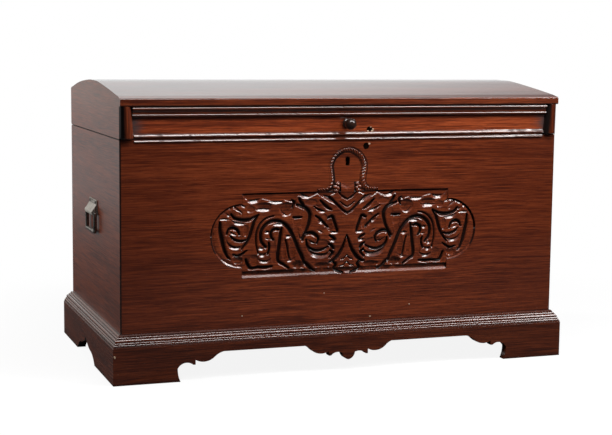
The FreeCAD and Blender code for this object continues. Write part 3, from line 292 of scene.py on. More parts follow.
def softwood():
    """Bare aged softwood of the bottom planks and blocks."""
    material, build = new_material("aged_softwood")
    grain = grain_vector(build, "X")
    rings = build.streaks(grain, 0.9, 34.0, 3.0, 0.5, 0.8)
    fibre = build.streaks(grain, 9.0, 420.0)
    tone = build.plus(build.times(rings, 0.65), build.times(fibre, 0.35))
    dark, body, light = (0.13, 0.062, 0.027), (0.26, 0.145, 0.068), (0.36, 0.22, 0.115)
    colour = build.ramp(tone, (0.3, dark), (0.5, body), (0.68, light))
    # Corners painted darker from the ambient occlusion: painted shade, with some soiling.
    shade = build.times(build.between(build.hollow(0.03), 0.8, 0.2), 0.6)
    colour = build.mix(shade, colour, SOFTWOOD_DIRT_AND_SHADE)
    build.surface({"Base Color": colour, "Roughness": 0.78, "Normal": build.bump(fibre, 0.5, 0.8 * MM)})
    return material


def ebonised():
    """The knob's polished dark wood."""
    material, build = new_material("ebonised_wood")
    fibre = build.streaks(grain_vector(build, "Y"), 30.0, 500.0)
    build.surface(
        {
            "Base Color": build.ramp(fibre, (0.3, (0.010, 0.005, 0.004)), (0.7, (0.034, 0.014, 0.009))),
            "Roughness": 0.4,
            "Specular IOR Level": 0.1,
            "Normal": build.bump(fibre, 0.25, 0.4 * MM),
            "Coat Weight": 0.8,
            "Coat Roughness": 0.08,
        }
    )
    return material


def dark_plug_and_hole_shade():
    """The dark of a plugged hole, and the painted shade of a broken one."""
    material, build = new_material("dark_plug_and_hole_shade")
    dirt_and_shade = build.noise(build.place(), 700.0)
    colour = build.ramp(dirt_and_shade, (0.35, (0.001, 0.0008, 0.0006)), (0.7, (0.007, 0.003, 0.002)))
    build.surface({"Base Color": colour, "Roughness": 0.85, "Specular IOR Level": 0.0})
    return material


def chipped_wood():
    """Pale raw wood where the varnish has chipped off."""
    material, build = new_material("chipped_wood")
    fibre = build.streaks(grain_vector(build, "X"), 60.0, 600.0)
    colour = build.ramp(fibre, (0.35, (0.3, 0.17, 0.09)), (0.65, (0.62, 0.47, 0.34)))
    build.surface({"Base Color": colour, "Roughness": 0.6})
    return material


def metal(name, dark, light, roughness, spots, metallic=1.0):
    """Forged or rolled metal with a patchy surface and dark spots."""
    material, build = new_material(name)
    spot = build.place()
    patch = build.noise(spot, 60.0, 5.0, 0.65)
    pits = build.times(build.between(build.noise(spot, 420.0, 3.0, 0.6), 0.56, 0.68), spots)
    colour = build.ramp(patch, (0.32, dark), (0.68, light))
    build.surface(
        {
            "Base Color": build.mix(pits, colour, METAL_PIT),
            "Metallic": metallic,
            "Roughness": build.plus(build.times(patch, 0.25), roughness),
            "Normal": build.bump(build.minus(patch, pits), 0.4, 0.5 * MM),
        }
    )
    return material


def put(material, *names):
    for name in names:
        slots = nodes[name].data.materials
        slots.clear()
        slots.append(material)


def dress_solids():
    """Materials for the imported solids, with the grain along each board."""
    boards_x = mahogany("mahogany_x", "X")
    put(boards_x, "back_board", "carved_panel", "keyhole_surround", "lid_back_rail")
    put(mahogany("mahogany_front", "X", ageing_and_shade=shade_towards_ends), "front_board")
    # The rail's tint of 1.5 paints it lighter than the front board: painted light.
    put(mahogany("mahogany_rail", "X", 1.5, ageing_and_shade=grey_rail_ends), "lid_front_rail")
    put(mahogany("lid_top", "X", 0.85, gloss=0.16, shine=1.6), *STAVES)
    # Tints under 1 paint the plinth and the mouldings darker than the boards: painted shade.
    plinth = mahogany("mahogany_plinth", "X", 0.55, corner_dirt_and_shade=1.0, reach=0.016, gloss=0.12)
    put(plinth, "plinth_front", "plinth_back")
    trim_x = mahogany("trim_x", "X", 0.62, corner_dirt_and_shade=1.0, reach=0.016, gloss=0.09, shine=1.8)
    put(trim_x, "base_moulding_front", "base_moulding_back", "lid_bed_moulding")
    put(trim_x, "lid_foot_bead", "rim_bead")
    trim_y = mahogany("trim_y", "Y", 0.62, corner_dirt_and_shade=1.0, reach=0.016, gloss=0.16, shine=1.6)
    boards_y = mahogany("mahogany_y", "Y", 0.9, reach=0.03, gloss=0.26, ageing_and_shade=shaded_seam)
    posts = mahogany("mahogany_posts", "Z", 0.8, corner_dirt_and_shade=0.95, reach=0.02, ageing_and_shade=shaded_left_flank)
    bare = softwood()
    put(bare, *(f"bottom_plank_{index}" for index in range(1, 4)))
    iron = metal("forged_iron", (0.13, 0.12, 0.11), (0.52, 0.48, 0.44), roughness=0.16, spots=0.7)
    plate = metal("worn_plate", (0.3, 0.27, 0.235), (0.58, 0.54, 0.48), 0.3, spots=0.5, metallic=0.35)
    brass = metal("dull_brass", (0.13, 0.08, 0.03), (0.3, 0.19, 0.075), roughness=0.32, spots=0.5)
    for hand in HANDS:
        put(boards_y, f"{hand}_side_board", f"lid_{hand}_gable")
        put(trim_y, f"plinth_{hand}", f"base_moulding_{hand}")
        put(posts, f"lid_{hand}_post")
        put(bare, f"{hand}_bottom_cleat", f"corner_block_front_{hand}", f"corner_block_back_{hand}")
        put(iron, f"{hand}_bail")
        put(plate, f"{hand}_handle_strap")
        put(brass, f"{hand}_hinge_chest_leaf", f"{hand}_hinge_lid_leaf", f"{hand}_hinge_pin")
    put(iron, "handle_nails")
    put(brass, "hinge_chest_screws", "hinge_lid_screws", "lock_case", "lock_screws", "lock_bolt")
    put(brass, "link_plate", "link_screws")
    put(ebonised(), "lid_knob")


def ease_edges():
    """Take the sharpness off every solid's edges, as planing, wear and varnish do."""
    for name, solid in nodes.items():
        if solid.hide_render:
            continue
        weld = solid.modifiers.new("weld", "WELD")
        weld.merge_threshold = 1e-6
        bevel = solid.modifiers.new("eased_edges", "BEVEL")
        bevel.width = 0.35 * MM if name in STAVES else 0.8 * MM
        bevel.segments = 2
        bevel.limit_method = "ANGLE"
        bevel.angle_limit = math.radians(38)
        bevel.use_clamp_overlap = True
        bevel.harden_normals = False
        smooth = solid.modifiers.new("normals", "WEIGHTED_NORMAL")
        smooth.keep_sharp = True


# Carving
#
# One half of the relief is described, in millimetres: a is the distance from the chest's centre line,
# z the height above the panel's middle, and h the rise above the ground. The other half mirrors it.
# Most of the surface stays just under the board's face, and gouged channels and bowls part the forms.

FACE = (GROUND_Y - FACE_Y) / MM           # rise of the board's face
SURFACE = FACE - 0.7                      # rise of the uncut forms
END = 75.8                                # radius of the panel's half-round ends
STRAIGHT = panel_high.x / MM - END        # half length of the panel between its ends
TALL = (panel_high.z - panel_low.z) / 2 / MM   # half height of the panel
GOUGE = 0.78                              # share of a channel's given half width that is cut
STEEP = 2.2                               # power by which a channel's walls climb
ROLLED = 1.3                              # reach of a channel's rolled edge, in half widths of the channel
SLOPE = 0.72                              # depth of a leaning cut for each millimetre of its width
WALL = 0.35                               # width of a leaning cut's steep side beside that of its slope
BOWL_LIP = 0.8                            # how far a bowl's edge is rolled down
BOWL_ROLLED = 0.35                        # reach of that edge, in half widths of the bowl
FOOT_BAND = -84                           # height of the upper edge of the flat band along the foot
TOP_SUNK = 2.6                            # how far the ground is sunk above the forms
# Upper edge of the forms
TOP_CONTOUR = (
    [(24, 98), (40, 90), (64, 84), (76, 94), (92, 86), (108, 84), (124, 90), (131, 79), (142, 77)]
    + [(153, 79), (160, 81), (182, 78), (205, 83), (213, 85), (232, 81), (254, 85), (262, 98)]
)


def smooth_curve(points):
    """Points about a millimetre apart on a smooth curve through the given ones, as (a, z, half width)."""
    given = np.array(points, float)
    given = np.vstack([2 * given[0] - given[1], given, 2 * given[-1] - given[-2]])
    pieces = []
    for before, start, end, after in zip(given, given[1:], given[2:], given[3:]):
        count = max(2, int(np.hypot(*(end - start)[:2])))
        t = np.linspace(0, 1, count, endpoint=False)[:, None]
        cubic = 3 * start - before - 3 * end + after
        square = 2 * before - 5 * start + 4 * end - after
        pieces.append(start + 0.5 * t * (end - before + t * (square + t * cubic)))
    return np.vstack([*pieces, given[-2:-1]])


def ease(t):
    t = np.clip(t, 0, 1)
    return t * t * (3 - 2 * t)


class Relief:
    """Heights of the carving over a set of places."""

    def __init__(self, a, z):
        self.a = a
        self.z = z
        wave = np.sin(a / 17 + z / 23) * np.sin(a / 29 - z / 13)
        tooling = np.sin(a / 2.6 + z / 3.9) * np.sin(a / 4.3 - z / 2.9)
        self.h = SURFACE - 0.5 + 0.35 * wave + 0.15 * tooling
        # How dark each place is painted: painted shade in the cuts, with their soiling.
        self.cut = np.zeros_like(self.h)

    def near(self, low, high):
        return (self.a > low[0]) & (self.a < high[0]) & (self.z > low[1]) & (self.z < high[1])

    def sink(self, near, level):
        self.h[near] = np.minimum(self.h[near], level)

    def channel(self, points, floor=0.0, lip=2.3):
        """A gouged channel along a curve: a round bottom, walls that climb to edges rolled down by lip."""
        curve = smooth_curve(points)
        curve[:, 2] *= GOUGE
        margin = 2.5 * curve[:, 2].max()
        near = self.near(curve[:, :2].min(0) - margin, curve[:, :2].max(0) + margin)
        apart = np.hypot(self.a[near, None] - curve[:, 0], self.z[near, None] - curve[:, 1]) / curve[:, 2]
        reach = apart.min(1)
        edge = SURFACE - lip
        wall = floor + (edge - floor) * np.clip(reach, 0, 1) ** STEEP
        roll = SURFACE - lip * (1 - np.clip((reach - 1) / ROLLED, 0, 1)) ** 2
        self.sink(near, np.where(reach < 1, wall, roll))
        # Painted shade, with soiling, in the channel's depth.
        self.darken(near, (1.25 - reach) * (1 - floor / SURFACE) * 1.5)

    def chip(self, points):
        """A leaning cut: below its line a slope as wide as given opens to the light, above it a steep wall.

        The line runs towards the centre, and the slope lies on its lower, outer side.
        """
        curve = smooth_curve(points)
        margin = curve[:, 2].max()
        near = self.near(curve[:, :2].min(0) - margin, curve[:, :2].max(0) + margin)
        away = np.stack([self.a[near, None] - curve[:, 0], self.z[near, None] - curve[:, 1]])
        apart = np.hypot(*away)
        closest = (apart / curve[:, 2]).argmin(1)
        row = np.arange(len(closest))
        along = np.gradient(curve[:, :2], axis=0)
        outward = np.stack([-along[:, 1], along[:, 0]])[:, closest]
        below = (away[:, row, closest] * outward).sum(0) > 0
        wide = np.where(below, 1.0, WALL) * curve[closest, 2]
        reach = apart[row, closest] / wide
        cut = np.minimum(SLOPE * curve[closest, 2], SURFACE - 0.2)
        self.sink(near, SURFACE - cut * np.clip(1 - reach, 0, 1))
        # Painted shade at the foot of the cut and over its steep wall.
        self.darken(near, np.where(below, 1 - 5 * reach, 1.1 - reach) * np.minimum(cut / 4, 1))

    def bowl(self, a, z, wide, tall, cut, lean=0.3):
        """A scooped bowl, deepest above its middle, so that its lower wall lies open to the light."""
        near = self.near((a - 1.4 * wide, z - 1.4 * tall), (a + 1.4 * wide, z + 1.4 * tall))
        across = (self.a[near] - a) / wide
        up = (self.z[near] - z) / tall
        up = np.where(up > lean, (up - lean) / (1 - lean), (up - lean) / (1 + lean))
        round_rim = np.hypot(across, up)
        hollow = SURFACE - BOWL_LIP - (cut - BOWL_LIP) * np.clip(1 - round_rim**2, 0, 1) ** 0.35
        roll = SURFACE - BOWL_LIP * (1 - np.clip((round_rim - 1) / BOWL_ROLLED, 0, 1)) ** 2
        self.sink(near, np.where(round_rim < 1, hollow, roll))
        # Painted shade over the bowl's upper wall.
        self.darken(near, np.where(up > 0, 1 - round_rim, 0) * up * cut / SURFACE * 2)

    def darken(self, near, amount):
        self.cut[near] = np.maximum(self.cut[near], amount)

    def bead(self, a, z, wide, tall):
        """A rounded bead or tip standing up from whatever has been cut there."""
        near = self.near((a - wide, z - tall), (a + wide, z + tall))
        across = np.hypot((self.a[near] - a) / wide, (self.z[near] - z) / tall)
        self.h[near] = np.maximum(self.h[near], SURFACE * np.clip(1 - across**2, 0, 1) ** 0.8)

    def end_rope(self):
        """The notched band round each half-round end."""
        middle, half_width, notches = 62, 12, 24
        out = self.a - STRAIGHT
        radius = np.hypot(out, self.z)
        around = np.arctan2(self.z, out)
        near = (radius > middle - half_width) & (out > 0)
        across = np.clip((radius[near] - middle) / half_width, -1, 1)
        twist = 0.5 - 0.5 * np.cos(around[near] * notches + across * 1.2 + np.sin(around[near] * 5))
        roll = np.where(across > 0, 4.2, 1.2) * across**2
        self.sink(near, SURFACE - roll - 0.8 * twist**4)

    def border(self):
        """Ground sunk along the top, a flat band along the foot, a slope round the lower half, and painted
        shadow under the top.
        """
        contour = np.interp(self.a, *zip(*TOP_CONTOUR))
        inside = self.a < STRAIGHT + 4
        fall = ease((self.z - contour) / 1.5)
        self.sink(inside, (SURFACE - TOP_SUNK * fall)[inside])
        self.sink(inside & (self.z < FOOT_BAND), FACE * 0.3)
        out = self.a - STRAIGHT
        edge = np.where(out > 0, END - np.hypot(out, self.z), TALL - abs(self.z))
        slope = FACE - 0.2 - (0.675 + 0.006 * np.sin(self.a / 31)) * np.maximum(edge, 0)
        self.h = np.where(self.z < 0, np.maximum(self.h, slope), self.h)
        # Painted shadow under the panel's upper edge and round the upper part of its ends.
        upper = self.z > -40
        self.darken(upper, (1.5 - edge / 4)[upper])


def carve(a, z):
    """Heights of the whole relief, and how dark each place's cut is painted, as painted shade with the
    soiling of the cuts.
    """
    relief = Relief(a, z)
    relief.end_rope()
    relief.border()
    channel, chip, bowl, bead = relief.channel, relief.chip, relief.bowl, relief.bead
    # end band's inner groove, and the hooked leaf and strap above the outer scroll
    channel([(315, 34, 3), (314, 14, 6), (309, -10, 6.5), (304, -30, 5.5), (297, -46, 4), (290, -53, 2)])
    channel([(288, 52, 3), (279, 42, 5), (262, 37, 5.5), (244, 38, 5), (226, 46, 3)])
    chip([(286, 73, 2), (276, 67, 7), (262, 55, 3)])
    chip([(268, 78, 2), (260, 72, 6), (252, 67, 2)])
    chip([(302, 56, 2), (294, 50, 5), (284, 48, 2)])
    chip([(321, 40, 2), (306, 42, 6), (290, 40, 3)])
    chip([(288, 38, 2), (276, 33, 8), (262, 30, 7), (249, 29, 2)])
    # outer scroll
    channel([(298, 6, 2.5), (294, 16, 4), (284, 20, 5), (273, 15, 4.5), (268, 4, 3)])
    channel([(290, 2, 2.5), (284, -5, 4.5), (274, -10, 5), (262, -12, 4.5), (252, -9, 3)], 1.5, lip=0.3)
    bead(284, 7, 8, 9)
    chip([(293, 14, 2), (286, 9, 6), (276, 3, 3)])
    chip([(300, -4, 2), (296, -14, 5), (287, -22, 8), (273, -26, 8), (260, -22, 5), (251, -12, 2)])
    bowl(252, 12, 7, 14, 3.2, 0.2)
    # channel between the outer scroll and the arch
    channel([(222, 48, 3), (232, 32, 5), (239, 10, 5.5), (245, -6, 5), (252, -18, 4), (262, -30, 2.5)])
    # leaf and pockets under the outer scroll
    channel([(250, -34, 2.5), (260, -41, 4), (272, -46, 4.5), (284, -42, 2.5)], lip=0.8)
    bowl(272, -58, 12, 9, 4.0)
    chip([(286, -44, 2), (276, -50, 5), (266, -60, 2)])
    channel([(252, -56, 4), (247, -68, 5), (240, -76, 5), (222, -75, 4), (204, -76, 4.5), (188, -74, 3)])
    # arch: its channel, the volute within it and the stem
    channel(
        [(107, -70, 4), (113, -54, 6), (122, -36, 6), (131, -14, 6.5), (141, 6, 6.5), (154, 22, 6)]
        + [(168, 31, 5.5), (186, 33, 5.5), (201, 27, 5.5), (212, 15, 5.5), (216, 0, 5.5)]
        + [(213, -16, 5), (203, -28, 4)]
    )
    channel(
        [(222, -42, 2.5), (227, -18, 3), (226, 6, 3.5), (218, 26, 3.5), (202, 40, 3), (184, 45, 2)],
        floor=2.0,
    )
    chip([(187, 23, 2), (176, 26, 7), (164, 25, 6), (157, 19, 2)])
    chip([(208, 8, 2), (200, 9, 8), (191, 6, 3)])
    chip([(206, -8, 2), (198, -8, 5), (190, -10, 2)])
    channel([(170, 12, 3), (180, 14, 4.5), (190, 8, 4.5), (190, -4, 4.5), (184, -12, 3)])
    bead(180, 4, 7, 9)
    channel(
        [(164, 16, 3), (167, 0, 5), (170, -24, 6), (173, -46, 6)]
        + [(172, -62, 5), (160, -70, 4), (146, -80, 3)]
    )
    channel([(196, -18, 3), (194, -30, 4), (198, -44, 3)])
    chip([(157, -4, 2), (148, -3, 8), (138, -5, 3)])
    channel([(154, -14, 3), (150, -30, 3.5), (147, -46, 3.5), (144, -58, 3)], 1.5)
    bowl(137, -36, 8, 24, 3.2, 0.2)
    chip([(152, -62, 2), (142, -61, 6), (130, -55, 3)])
    chip([(144, -44, 2), (138, -46, 5), (131, -42, 2)])
    # curls at the foot of the arch
    chip([(224, -28, 2), (214, -30, 7), (204, -29, 3)])
    chip([(223, -42, 2), (211, -45, 8), (197, -41, 3)])
    chip([(225, -54, 2), (212, -60, 7), (198, -60, 7), (181, -49, 2)])
    chip([(176, -62, 2), (164, -69, 5), (148, -77, 3)])
    # oval dish, small volute and lit edges along the top
    bowl(209, 68, 19, 9, 4.5, 0.3)
    chip([(230, 63, 2), (220, 62, 7), (209, 63, 9), (198, 62, 7), (188, 65, 2)])
    chip([(252, 85, 2), (240, 83, 9), (228, 84, 10), (214, 88, 3)])
    chip([(200, 80, 2), (184, 79, 7), (166, 79, 6), (159, 82, 2)])
    bowl(151, 60, 17, 16, 4.5, 0.3)
    chip([(170, 68, 2), (165, 57, 6), (156, 48, 7), (145, 45, 2)])
    chip([(160, 60, 2), (152, 58, 6), (142, 60, 3)])
    channel([(138, 64, 3), (134, 76, 5), (140, 82, 3)])
    chip([(150, 80, 2), (142, 79, 6), (132, 81, 2)])
    # comma leaf
    channel(
        [(127, 70, 3), (116, 66, 5), (102, 59, 6), (94, 45, 6.5)]
        + [(96, 28, 6), (102, 10, 5), (109, -6, 5), (112, -14, 4)]
    )
    channel([(121, 84, 4), (117, 76, 5), (110, 68, 4)])
    channel([(136, 40, 3), (126, 39, 4.5), (114, 40, 3)])
    bowl(126, 28, 11, 14, 3.4)
    bowl(110, 34, 9, 26, 2.4, 0.2)
    chip([(124, 8, 2), (120, -4, 5), (116, -20, 3)])
    chip([(122, 98, 2), (112, 93, 9), (100, 89, 7), (88, 90, 2)])
    # inner volute
    channel([(114, -10, 4), (106, -1, 5), (92, 2, 5.5), (78, -4, 5), (72, -14, 4), (76, -24, 3)])
    bowl(72, -32, 30, 18, 3.0, 0.3)
    channel(
        [(103, -14, 3), (101, -26, 5), (92, -36, 5.5), (76, -41, 5.5), (60, -38, 4.5), (48, -32, 3)],
        lip=0.5,
    )
    bead(87, -16, 11, 12)
    chip([(99, -13, 2), (92, -18, 6), (82, -22, 7), (74, -18, 2)])
    chip([(104, -27, 2), (97, -38, 6), (84, -47, 10), (66, -51, 11), (50, -48, 9), (39, -38, 2)])
    # pockets along the foot
    bowl(122, -74, 17, 10, 5.4, 0.2)
    channel([(108, -66, 4), (98, -76, 6), (88, -86, 5), (80, -90, 3)])
    bowl(62, -78, 20, 8, 4.6, 0.2)
    chip([(134, -60, 2), (124, -64, 5), (112, -62, 2)])
    # wings and beads beside the centre
    chip([(66, 92, 3), (52, 88, 10), (38, 79, 9), (24, 66, 3)])
    chip([(44, 98, 2), (36, 97, 5), (26, 95, 2)])
    channel([(68, 78, 3), (58, 68, 4.5), (48, 60, 4), (40, 56, 2)])
    channel([(84, 64, 2), (74, 58, 3), (66, 55, 2)])
    chip([(75, 57, 2), (65, 55, 8), (54, 50, 2)])
    chip([(84, 72, 2), (76, 66, 4), (66, 62, 2)])
    channel([(80, 42, 2.5), (68, 34, 4), (58, 24, 4.5), (48, 14, 4)])
    chip([(77, 33, 2), (68, 29, 7), (58, 21, 2)])
    chip([(78, 10, 2), (68, 6, 5), (58, 0, 2)])
    # lobed edge down each side of the centre
    channel([(48, 36, 4), (38, 39, 5), (32, 26, 5), (26, 10, 4.5), (24, 2, 3)])
    bowl(44, 20, 8, 16, 3.6)
    chip([(47, 4, 2), (36, 3, 7), (23, 1, 4)])
    channel([(44, -6, 3), (36, -11, 4.5), (31, -16, 4)])
    chip([(47, -17, 2), (38, -17, 7), (29, -21, 3)])
    channel([(46, -26, 3), (38, -31, 5), (34, -38, 4)])
    channel([(42, -42, 4), (36, -48, 5), (44, -58, 3)])
    # collar and point of the centre
    channel([(46, 88, 3), (32, 74, 4.5), (16, 58, 4.5), (6, 50, 4), (0, 47, 4)], 1.5, lip=0.8)
    channel([(24, 98, 2.5), (14, 88, 3.5), (0, 80, 3.5)], 2.5, lip=0.6)
    channel([(18, 74, 2), (8, 66, 2.5), (0, 62, 2.5)], 3.0, lip=0.6)
    # drop at the foot of the centre
    channel([(0, -6, 2), (5, -20, 3.5), (12, -38, 5), (22, -54, 6), (34, -66, 5), (44, -70, 3)])
    channel([(36, -68, 4), (28, -76, 5), (32, -86, 5), (22, -92, 5), (10, -96, 4)])
    chip([(37, -60, 2), (28, -61, 6), (19, -60, 2)])
    channel([(0, -54, 2), (7, -62, 2.5), (14, -64, 2)], 3.5, lip=0.4)
    channel([(0, -70, 2), (8, -78, 2.5), (18, -80, 2)], 3.5, lip=0.4)
    # ground left low between the forms
    hollows = (158, -34, 6, 26), (128, 8, 7, 24), (184, -40, 8, 26), (92, 74, 16, 8), (240, 62, 10, 8)
    for across, up, wide, tall in hollows:
        bowl(across, up, wide, tall, 2.6, 0.0)
    bowl(232, -60, 10, 14, 2.8)
    bowl(58, 30, 7, 16, 2.4)
    # Painted shade that deepens with the depth of the relief.
    sunk = 0.8 * (1 - relief.h / SURFACE)
    return relief.h, np.maximum(relief.cut, sunk)


def add_sheet(build, x, z, relief, ground, level, back_y, flip=False):
    """Add a carved sheet with walls and a back to the mesh, from a grid of places in millimetres.

    relief gives the rise from the ground at each place and how dark the cut is painted, as painted shade
    with the soiling of the cuts. level is where z is 0, and flip is for a grid that is laid out the other
    way round.
    """
    heights, cuts = relief(abs(x).ravel(), z.ravel())
    layer = build.verts.layers.float["cut"]
    placed = []
    for px, pz, rise, cut in zip(x.flat, z.flat, heights, cuts):
        vertex = build.verts.new((px * MM, ground - rise * MM, level + pz * MM))
        vertex[layer] = cut
        placed.append(vertex)
    wide = x.shape[1]
    grid = [placed[start : start + wide] for start in range(0, len(placed), wide)]
    for left, right in zip(grid, grid[1:]):
        for low in range(len(left) - 1):
            corners = (left[low], right[low], right[low + 1], left[low + 1])
            build.faces.new(corners[::-1] if flip else corners)
    rim = [*(row[0] for row in grid), *grid[-1][1:], *(row[-1] for row in grid[-2::-1]), *grid[0][-2:0:-1]]
    back = [build.verts.new((vertex.co.x, back_y, vertex.co.z)) for vertex in rim]
    for near, far, far_back, near_back in zip(rim, rim[1:] + rim[:1], back[1:] + back[:1], back):
        corners = (near_back, far_back, far, near)
        build.faces.new(corners[::-1] if flip else corners)
    build.faces.new(back if flip else back[::-1])


def add_piece(name, build, material, slot, body, *replaced):
    """Turn the bmesh into an object that rides a body."""
    bmesh.ops.recalc_face_normals(build, faces=build.faces)
    mesh = bpy.data.meshes.new(name)
    build.to_mesh(mesh)
    build.free()
    mesh.materials.append(material)
    piece = bpy.data.objects.new(name, mesh)
    bpy.context.scene.collection.objects.link(piece)
    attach(piece, body)
    if replaced:
        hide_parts(*replaced)
    return piece


def shade_smooth(piece, angle):
    """Shade the piece smooth, apart from edges that turn by more than the angle, in degrees."""
    piece.data.shade_smooth()
    piece.data.set_sharp_from_angle(angle=math.radians(angle))


def skin_rings(build, rings):
    """Join closed rings of vertices in turn, and close the first and the last."""
    for near, far in zip(rings, rings[1:]):
        for index in range(len(near)):
            build.faces.new((near[index - 1], near[index], far[index], far[index - 1]))
    build.faces.new(rings[0])
    build.faces.new(rings[-1])


def carving(material):
    """The carved panel: its middle as a grid and its half-round ends as fans, each closed at the back."""
    pitch = 1.2
    build = bmesh.new()
    build.verts.layers.float.new("cut")
    place = carve, GROUND_Y, PANEL_MIDDLE, panel_high.y
    across = np.linspace(-STRAIGHT, STRAIGHT, int(2 * STRAIGHT / pitch) | 1)
    up = np.linspace(-TALL, TALL, int(2 * TALL / pitch))
    x, z = np.meshgrid(across, up, indexing="ij")
    add_sheet(build, x, z, *place)
    turns = np.linspace(-math.pi / 2, math.pi / 2, int(math.pi * END / pitch))
    rings = np.linspace(0.5, END, int(END / pitch))
    turn, ring = np.meshgrid(turns, rings, indexing="ij")
    for side in (-1, 1):
        add_sheet(build, side * (STRAIGHT + ring * np.cos(turn)), ring * np.sin(turn), *place, side < 0)
    panel = add_piece("carving", build, material, "mahogany", "chest", "carved_panel")
    panel.data.shade_smooth()


# Rim of the keyhole and the collar between its feet, in millimetres from the foot of the solid rim

RIM_FOOT = (76, 4.5, 2.8), (62, 5, 3.8), (51, 6.5, 4.4), (43.5, 12, 4.5), (40, 22, 4.5), (40.5, 36, 4.5)
RIM_HALF = 4.5                            # half width of the rim round its arch
ARCH_RADIUS = 43.5
ARCH_LEVEL = 55.5                         # height of the arch's centre
NOTCH_PITCH = 7
NOTCH_SLANT = 3                           # how far a notch runs on between the rim's middle and its edge
NOTCH_DEPTH = 0.5                         # as a share of the rim's rise
SHIELD_HALF = 18                          # half width of the collar's shield, beside which the leaves start
LEAF_TOP = 21


def keyhole_rim(material):
    """Rim round the keyhole: a half-round swept along a horseshoe on spread feet, with slanting notches.

    Outside the half-round a narrow band lies level with the board's face. Painted shade lies along the
    flanks that look to the chest's right, in the notches and off the crest, and the inner flank on the
    right is gentle.
    """
    turns = np.radians(range(0, 91, 15))
    arch_a, arch_z = ARCH_RADIUS * np.cos(turns), ARCH_LEVEL + ARCH_RADIUS * np.sin(turns)
    half = [*RIM_FOOT, *((a, z, RIM_HALF) for a, z in zip(arch_a, arch_z))]
    curve = smooth_curve([(-a, z, wide) for a, z, wide in half[:-1]] + half[::-1])
    along = np.gradient(curve[:, :2], axis=0)
    along /= np.hypot(*along.T)[:, None]
    run = np.cumsum(np.hypot(*np.diff(curve[:, :2], axis=0, prepend=curve[:1, :2]).T))
    build = bmesh.new()
    layer = build.verts.layers.float.new("cut")
    section = [-2.0, -1.7, -1.4, -1.1, *np.linspace(-1, 1, 9), 1.1, 1.55]
    rings = []
    for (x, z, wide), (dx, dz), length in zip(curve, along, run):
        ring = []
        for across in section:
            phase = length + NOTCH_SLANT * across + 2 * math.sin(length / 11)
            notch = (0.5 + 0.5 * math.cos(phase * math.tau / NOTCH_PITCH)) ** 3
            gentle = 1 + float(ease(0.5 - dz)) if across < 0 else 1
            crest = max(1 - abs(across / gentle) ** 2.5, 0)
            rise = 0.1 + (RIM_DEPTH + 1) * crest * (1 - NOTCH_DEPTH * notch)
            if across > 1:
                rise = RIM_DEPTH + 0.1
            right_flank = max(-dz * across, 0)
            place = x - dz * across * wide, z + dx * across * wide
            vertex = build.verts.new((place[0] * MM, rim_high.y - rise * MM, rim_low.z + place[1] * MM))
            # Painted shade off the crest, on the flanks that look right and in the notches.
            vertex[layer] = 0.45 * (1 - crest) + 0.6 * right_flank + 0.7 * notch * crest
            ring.append(vertex)
        rings.append(ring)
    skin_rings(build, rings)
    rim = add_piece("keyhole_rim", build, material, "mahogany", "chest", "keyhole_surround")
    shade_smooth(rim, 50)


def collar_relief(a, z):
    """Rise of the collar and how dark its cuts are painted, as painted shade: a shield under a chevron,
    beside a lobed leaf.
    """
    chevron = 13 + 0.45 * a
    shield = (RIM_DEPTH - 0.6) * ease((chevron - z) / 13)
    ridge = 0.7 * np.clip(1 - abs(z - chevron) / 1.4, 0, 1) * (a < 15)
    rise = np.where(a < SHIELD_HALF, shield + ridge, 0) + 0.15
    lobes = (25, 16, 6, 4.5), (31, 9, 6.5, 5), (24, 6, 5, 5), (29, 0, 8, 4.5)
    for middle, level, wide, tall in lobes:
        bulge = 1 - ((a - middle) / wide) ** 2 - ((z - level) / tall) ** 2
        rise = np.maximum(rise, (RIM_DEPTH + 0.3) * np.clip(bulge, 0, 1) ** 0.6)
    # Painted shade in the groove beside the shield and in the gaps between the lobes.
    leafy = z < LEAF_TOP
    groove = np.clip(1.6 - abs(a - SHIELD_HALF) / 1.5, 0, 1) * leafy
    gaps = np.clip(1.3 - rise / 2.2, 0, 1) * (a > SHIELD_HALF) * leafy
    return rise, np.maximum(groove, gaps)


def rim_collar(material):
    """Collar between the feet of the rim."""
    build = bmesh.new()
    build.verts.layers.float.new("cut")
    x, z = np.meshgrid(np.linspace(-37, 37, 75), np.linspace(-3, 25, 29), indexing="ij")
    add_sheet(build, x, z, collar_relief, rim_high.y, rim_low.z, rim_high.y + 0.5 * MM)
    collar = add_piece("rim_collar", build, material, "mahogany", "chest")
    shade_smooth(collar, 50)


# Beads, veneers and marks

BEAD_SECTION = (-0.1, 0), (0.9, 0.01), (1, 0.05), (0.68, 0.23), (0.27, 0.57), (0.08, 0.8), (-0.1, 1)
VENEER = 3                                # depth of the dome's veneer, part of it sunk in the staves
PLUG = (7.4, -0.3), (7.2, 0.5), (6, 0.9), (4.8, 0.5), (3.8, 0.15)
CHIP = (6, -0.3), (5.6, 0.3), (3, 0.35)
FLAKE = (1, -0.3), (0.9, 0.4), (0.4, 0.5)
MARK_SIDES = 20


def worn_beads(material):
    """The beads along the lid's foot and the chest's rim, worn to a slope on top."""
    for name, body in (("lid_foot_bead", "lid"), ("rim_bead", "chest")):
        low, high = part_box(name)
        reach, tall = high.y - low.y, high.z - low.z
        build = bmesh.new()
        rings = []
        for x in np.linspace(low.x, high.x, 240):
            wear = 1 + 0.05 * math.sin(61 * x) * math.sin(143 * x + 1)
            places = ((x, high.y - out * wear * reach, low.z + up * tall) for out, up in BEAD_SECTION)
            rings.append([build.verts.new(place) for place in places])
        skin_rings(build, rings)
        bead = add_piece(f"worn_{name}", build, material, "mahogany", body, name)
        shade_smooth(bead, 40)


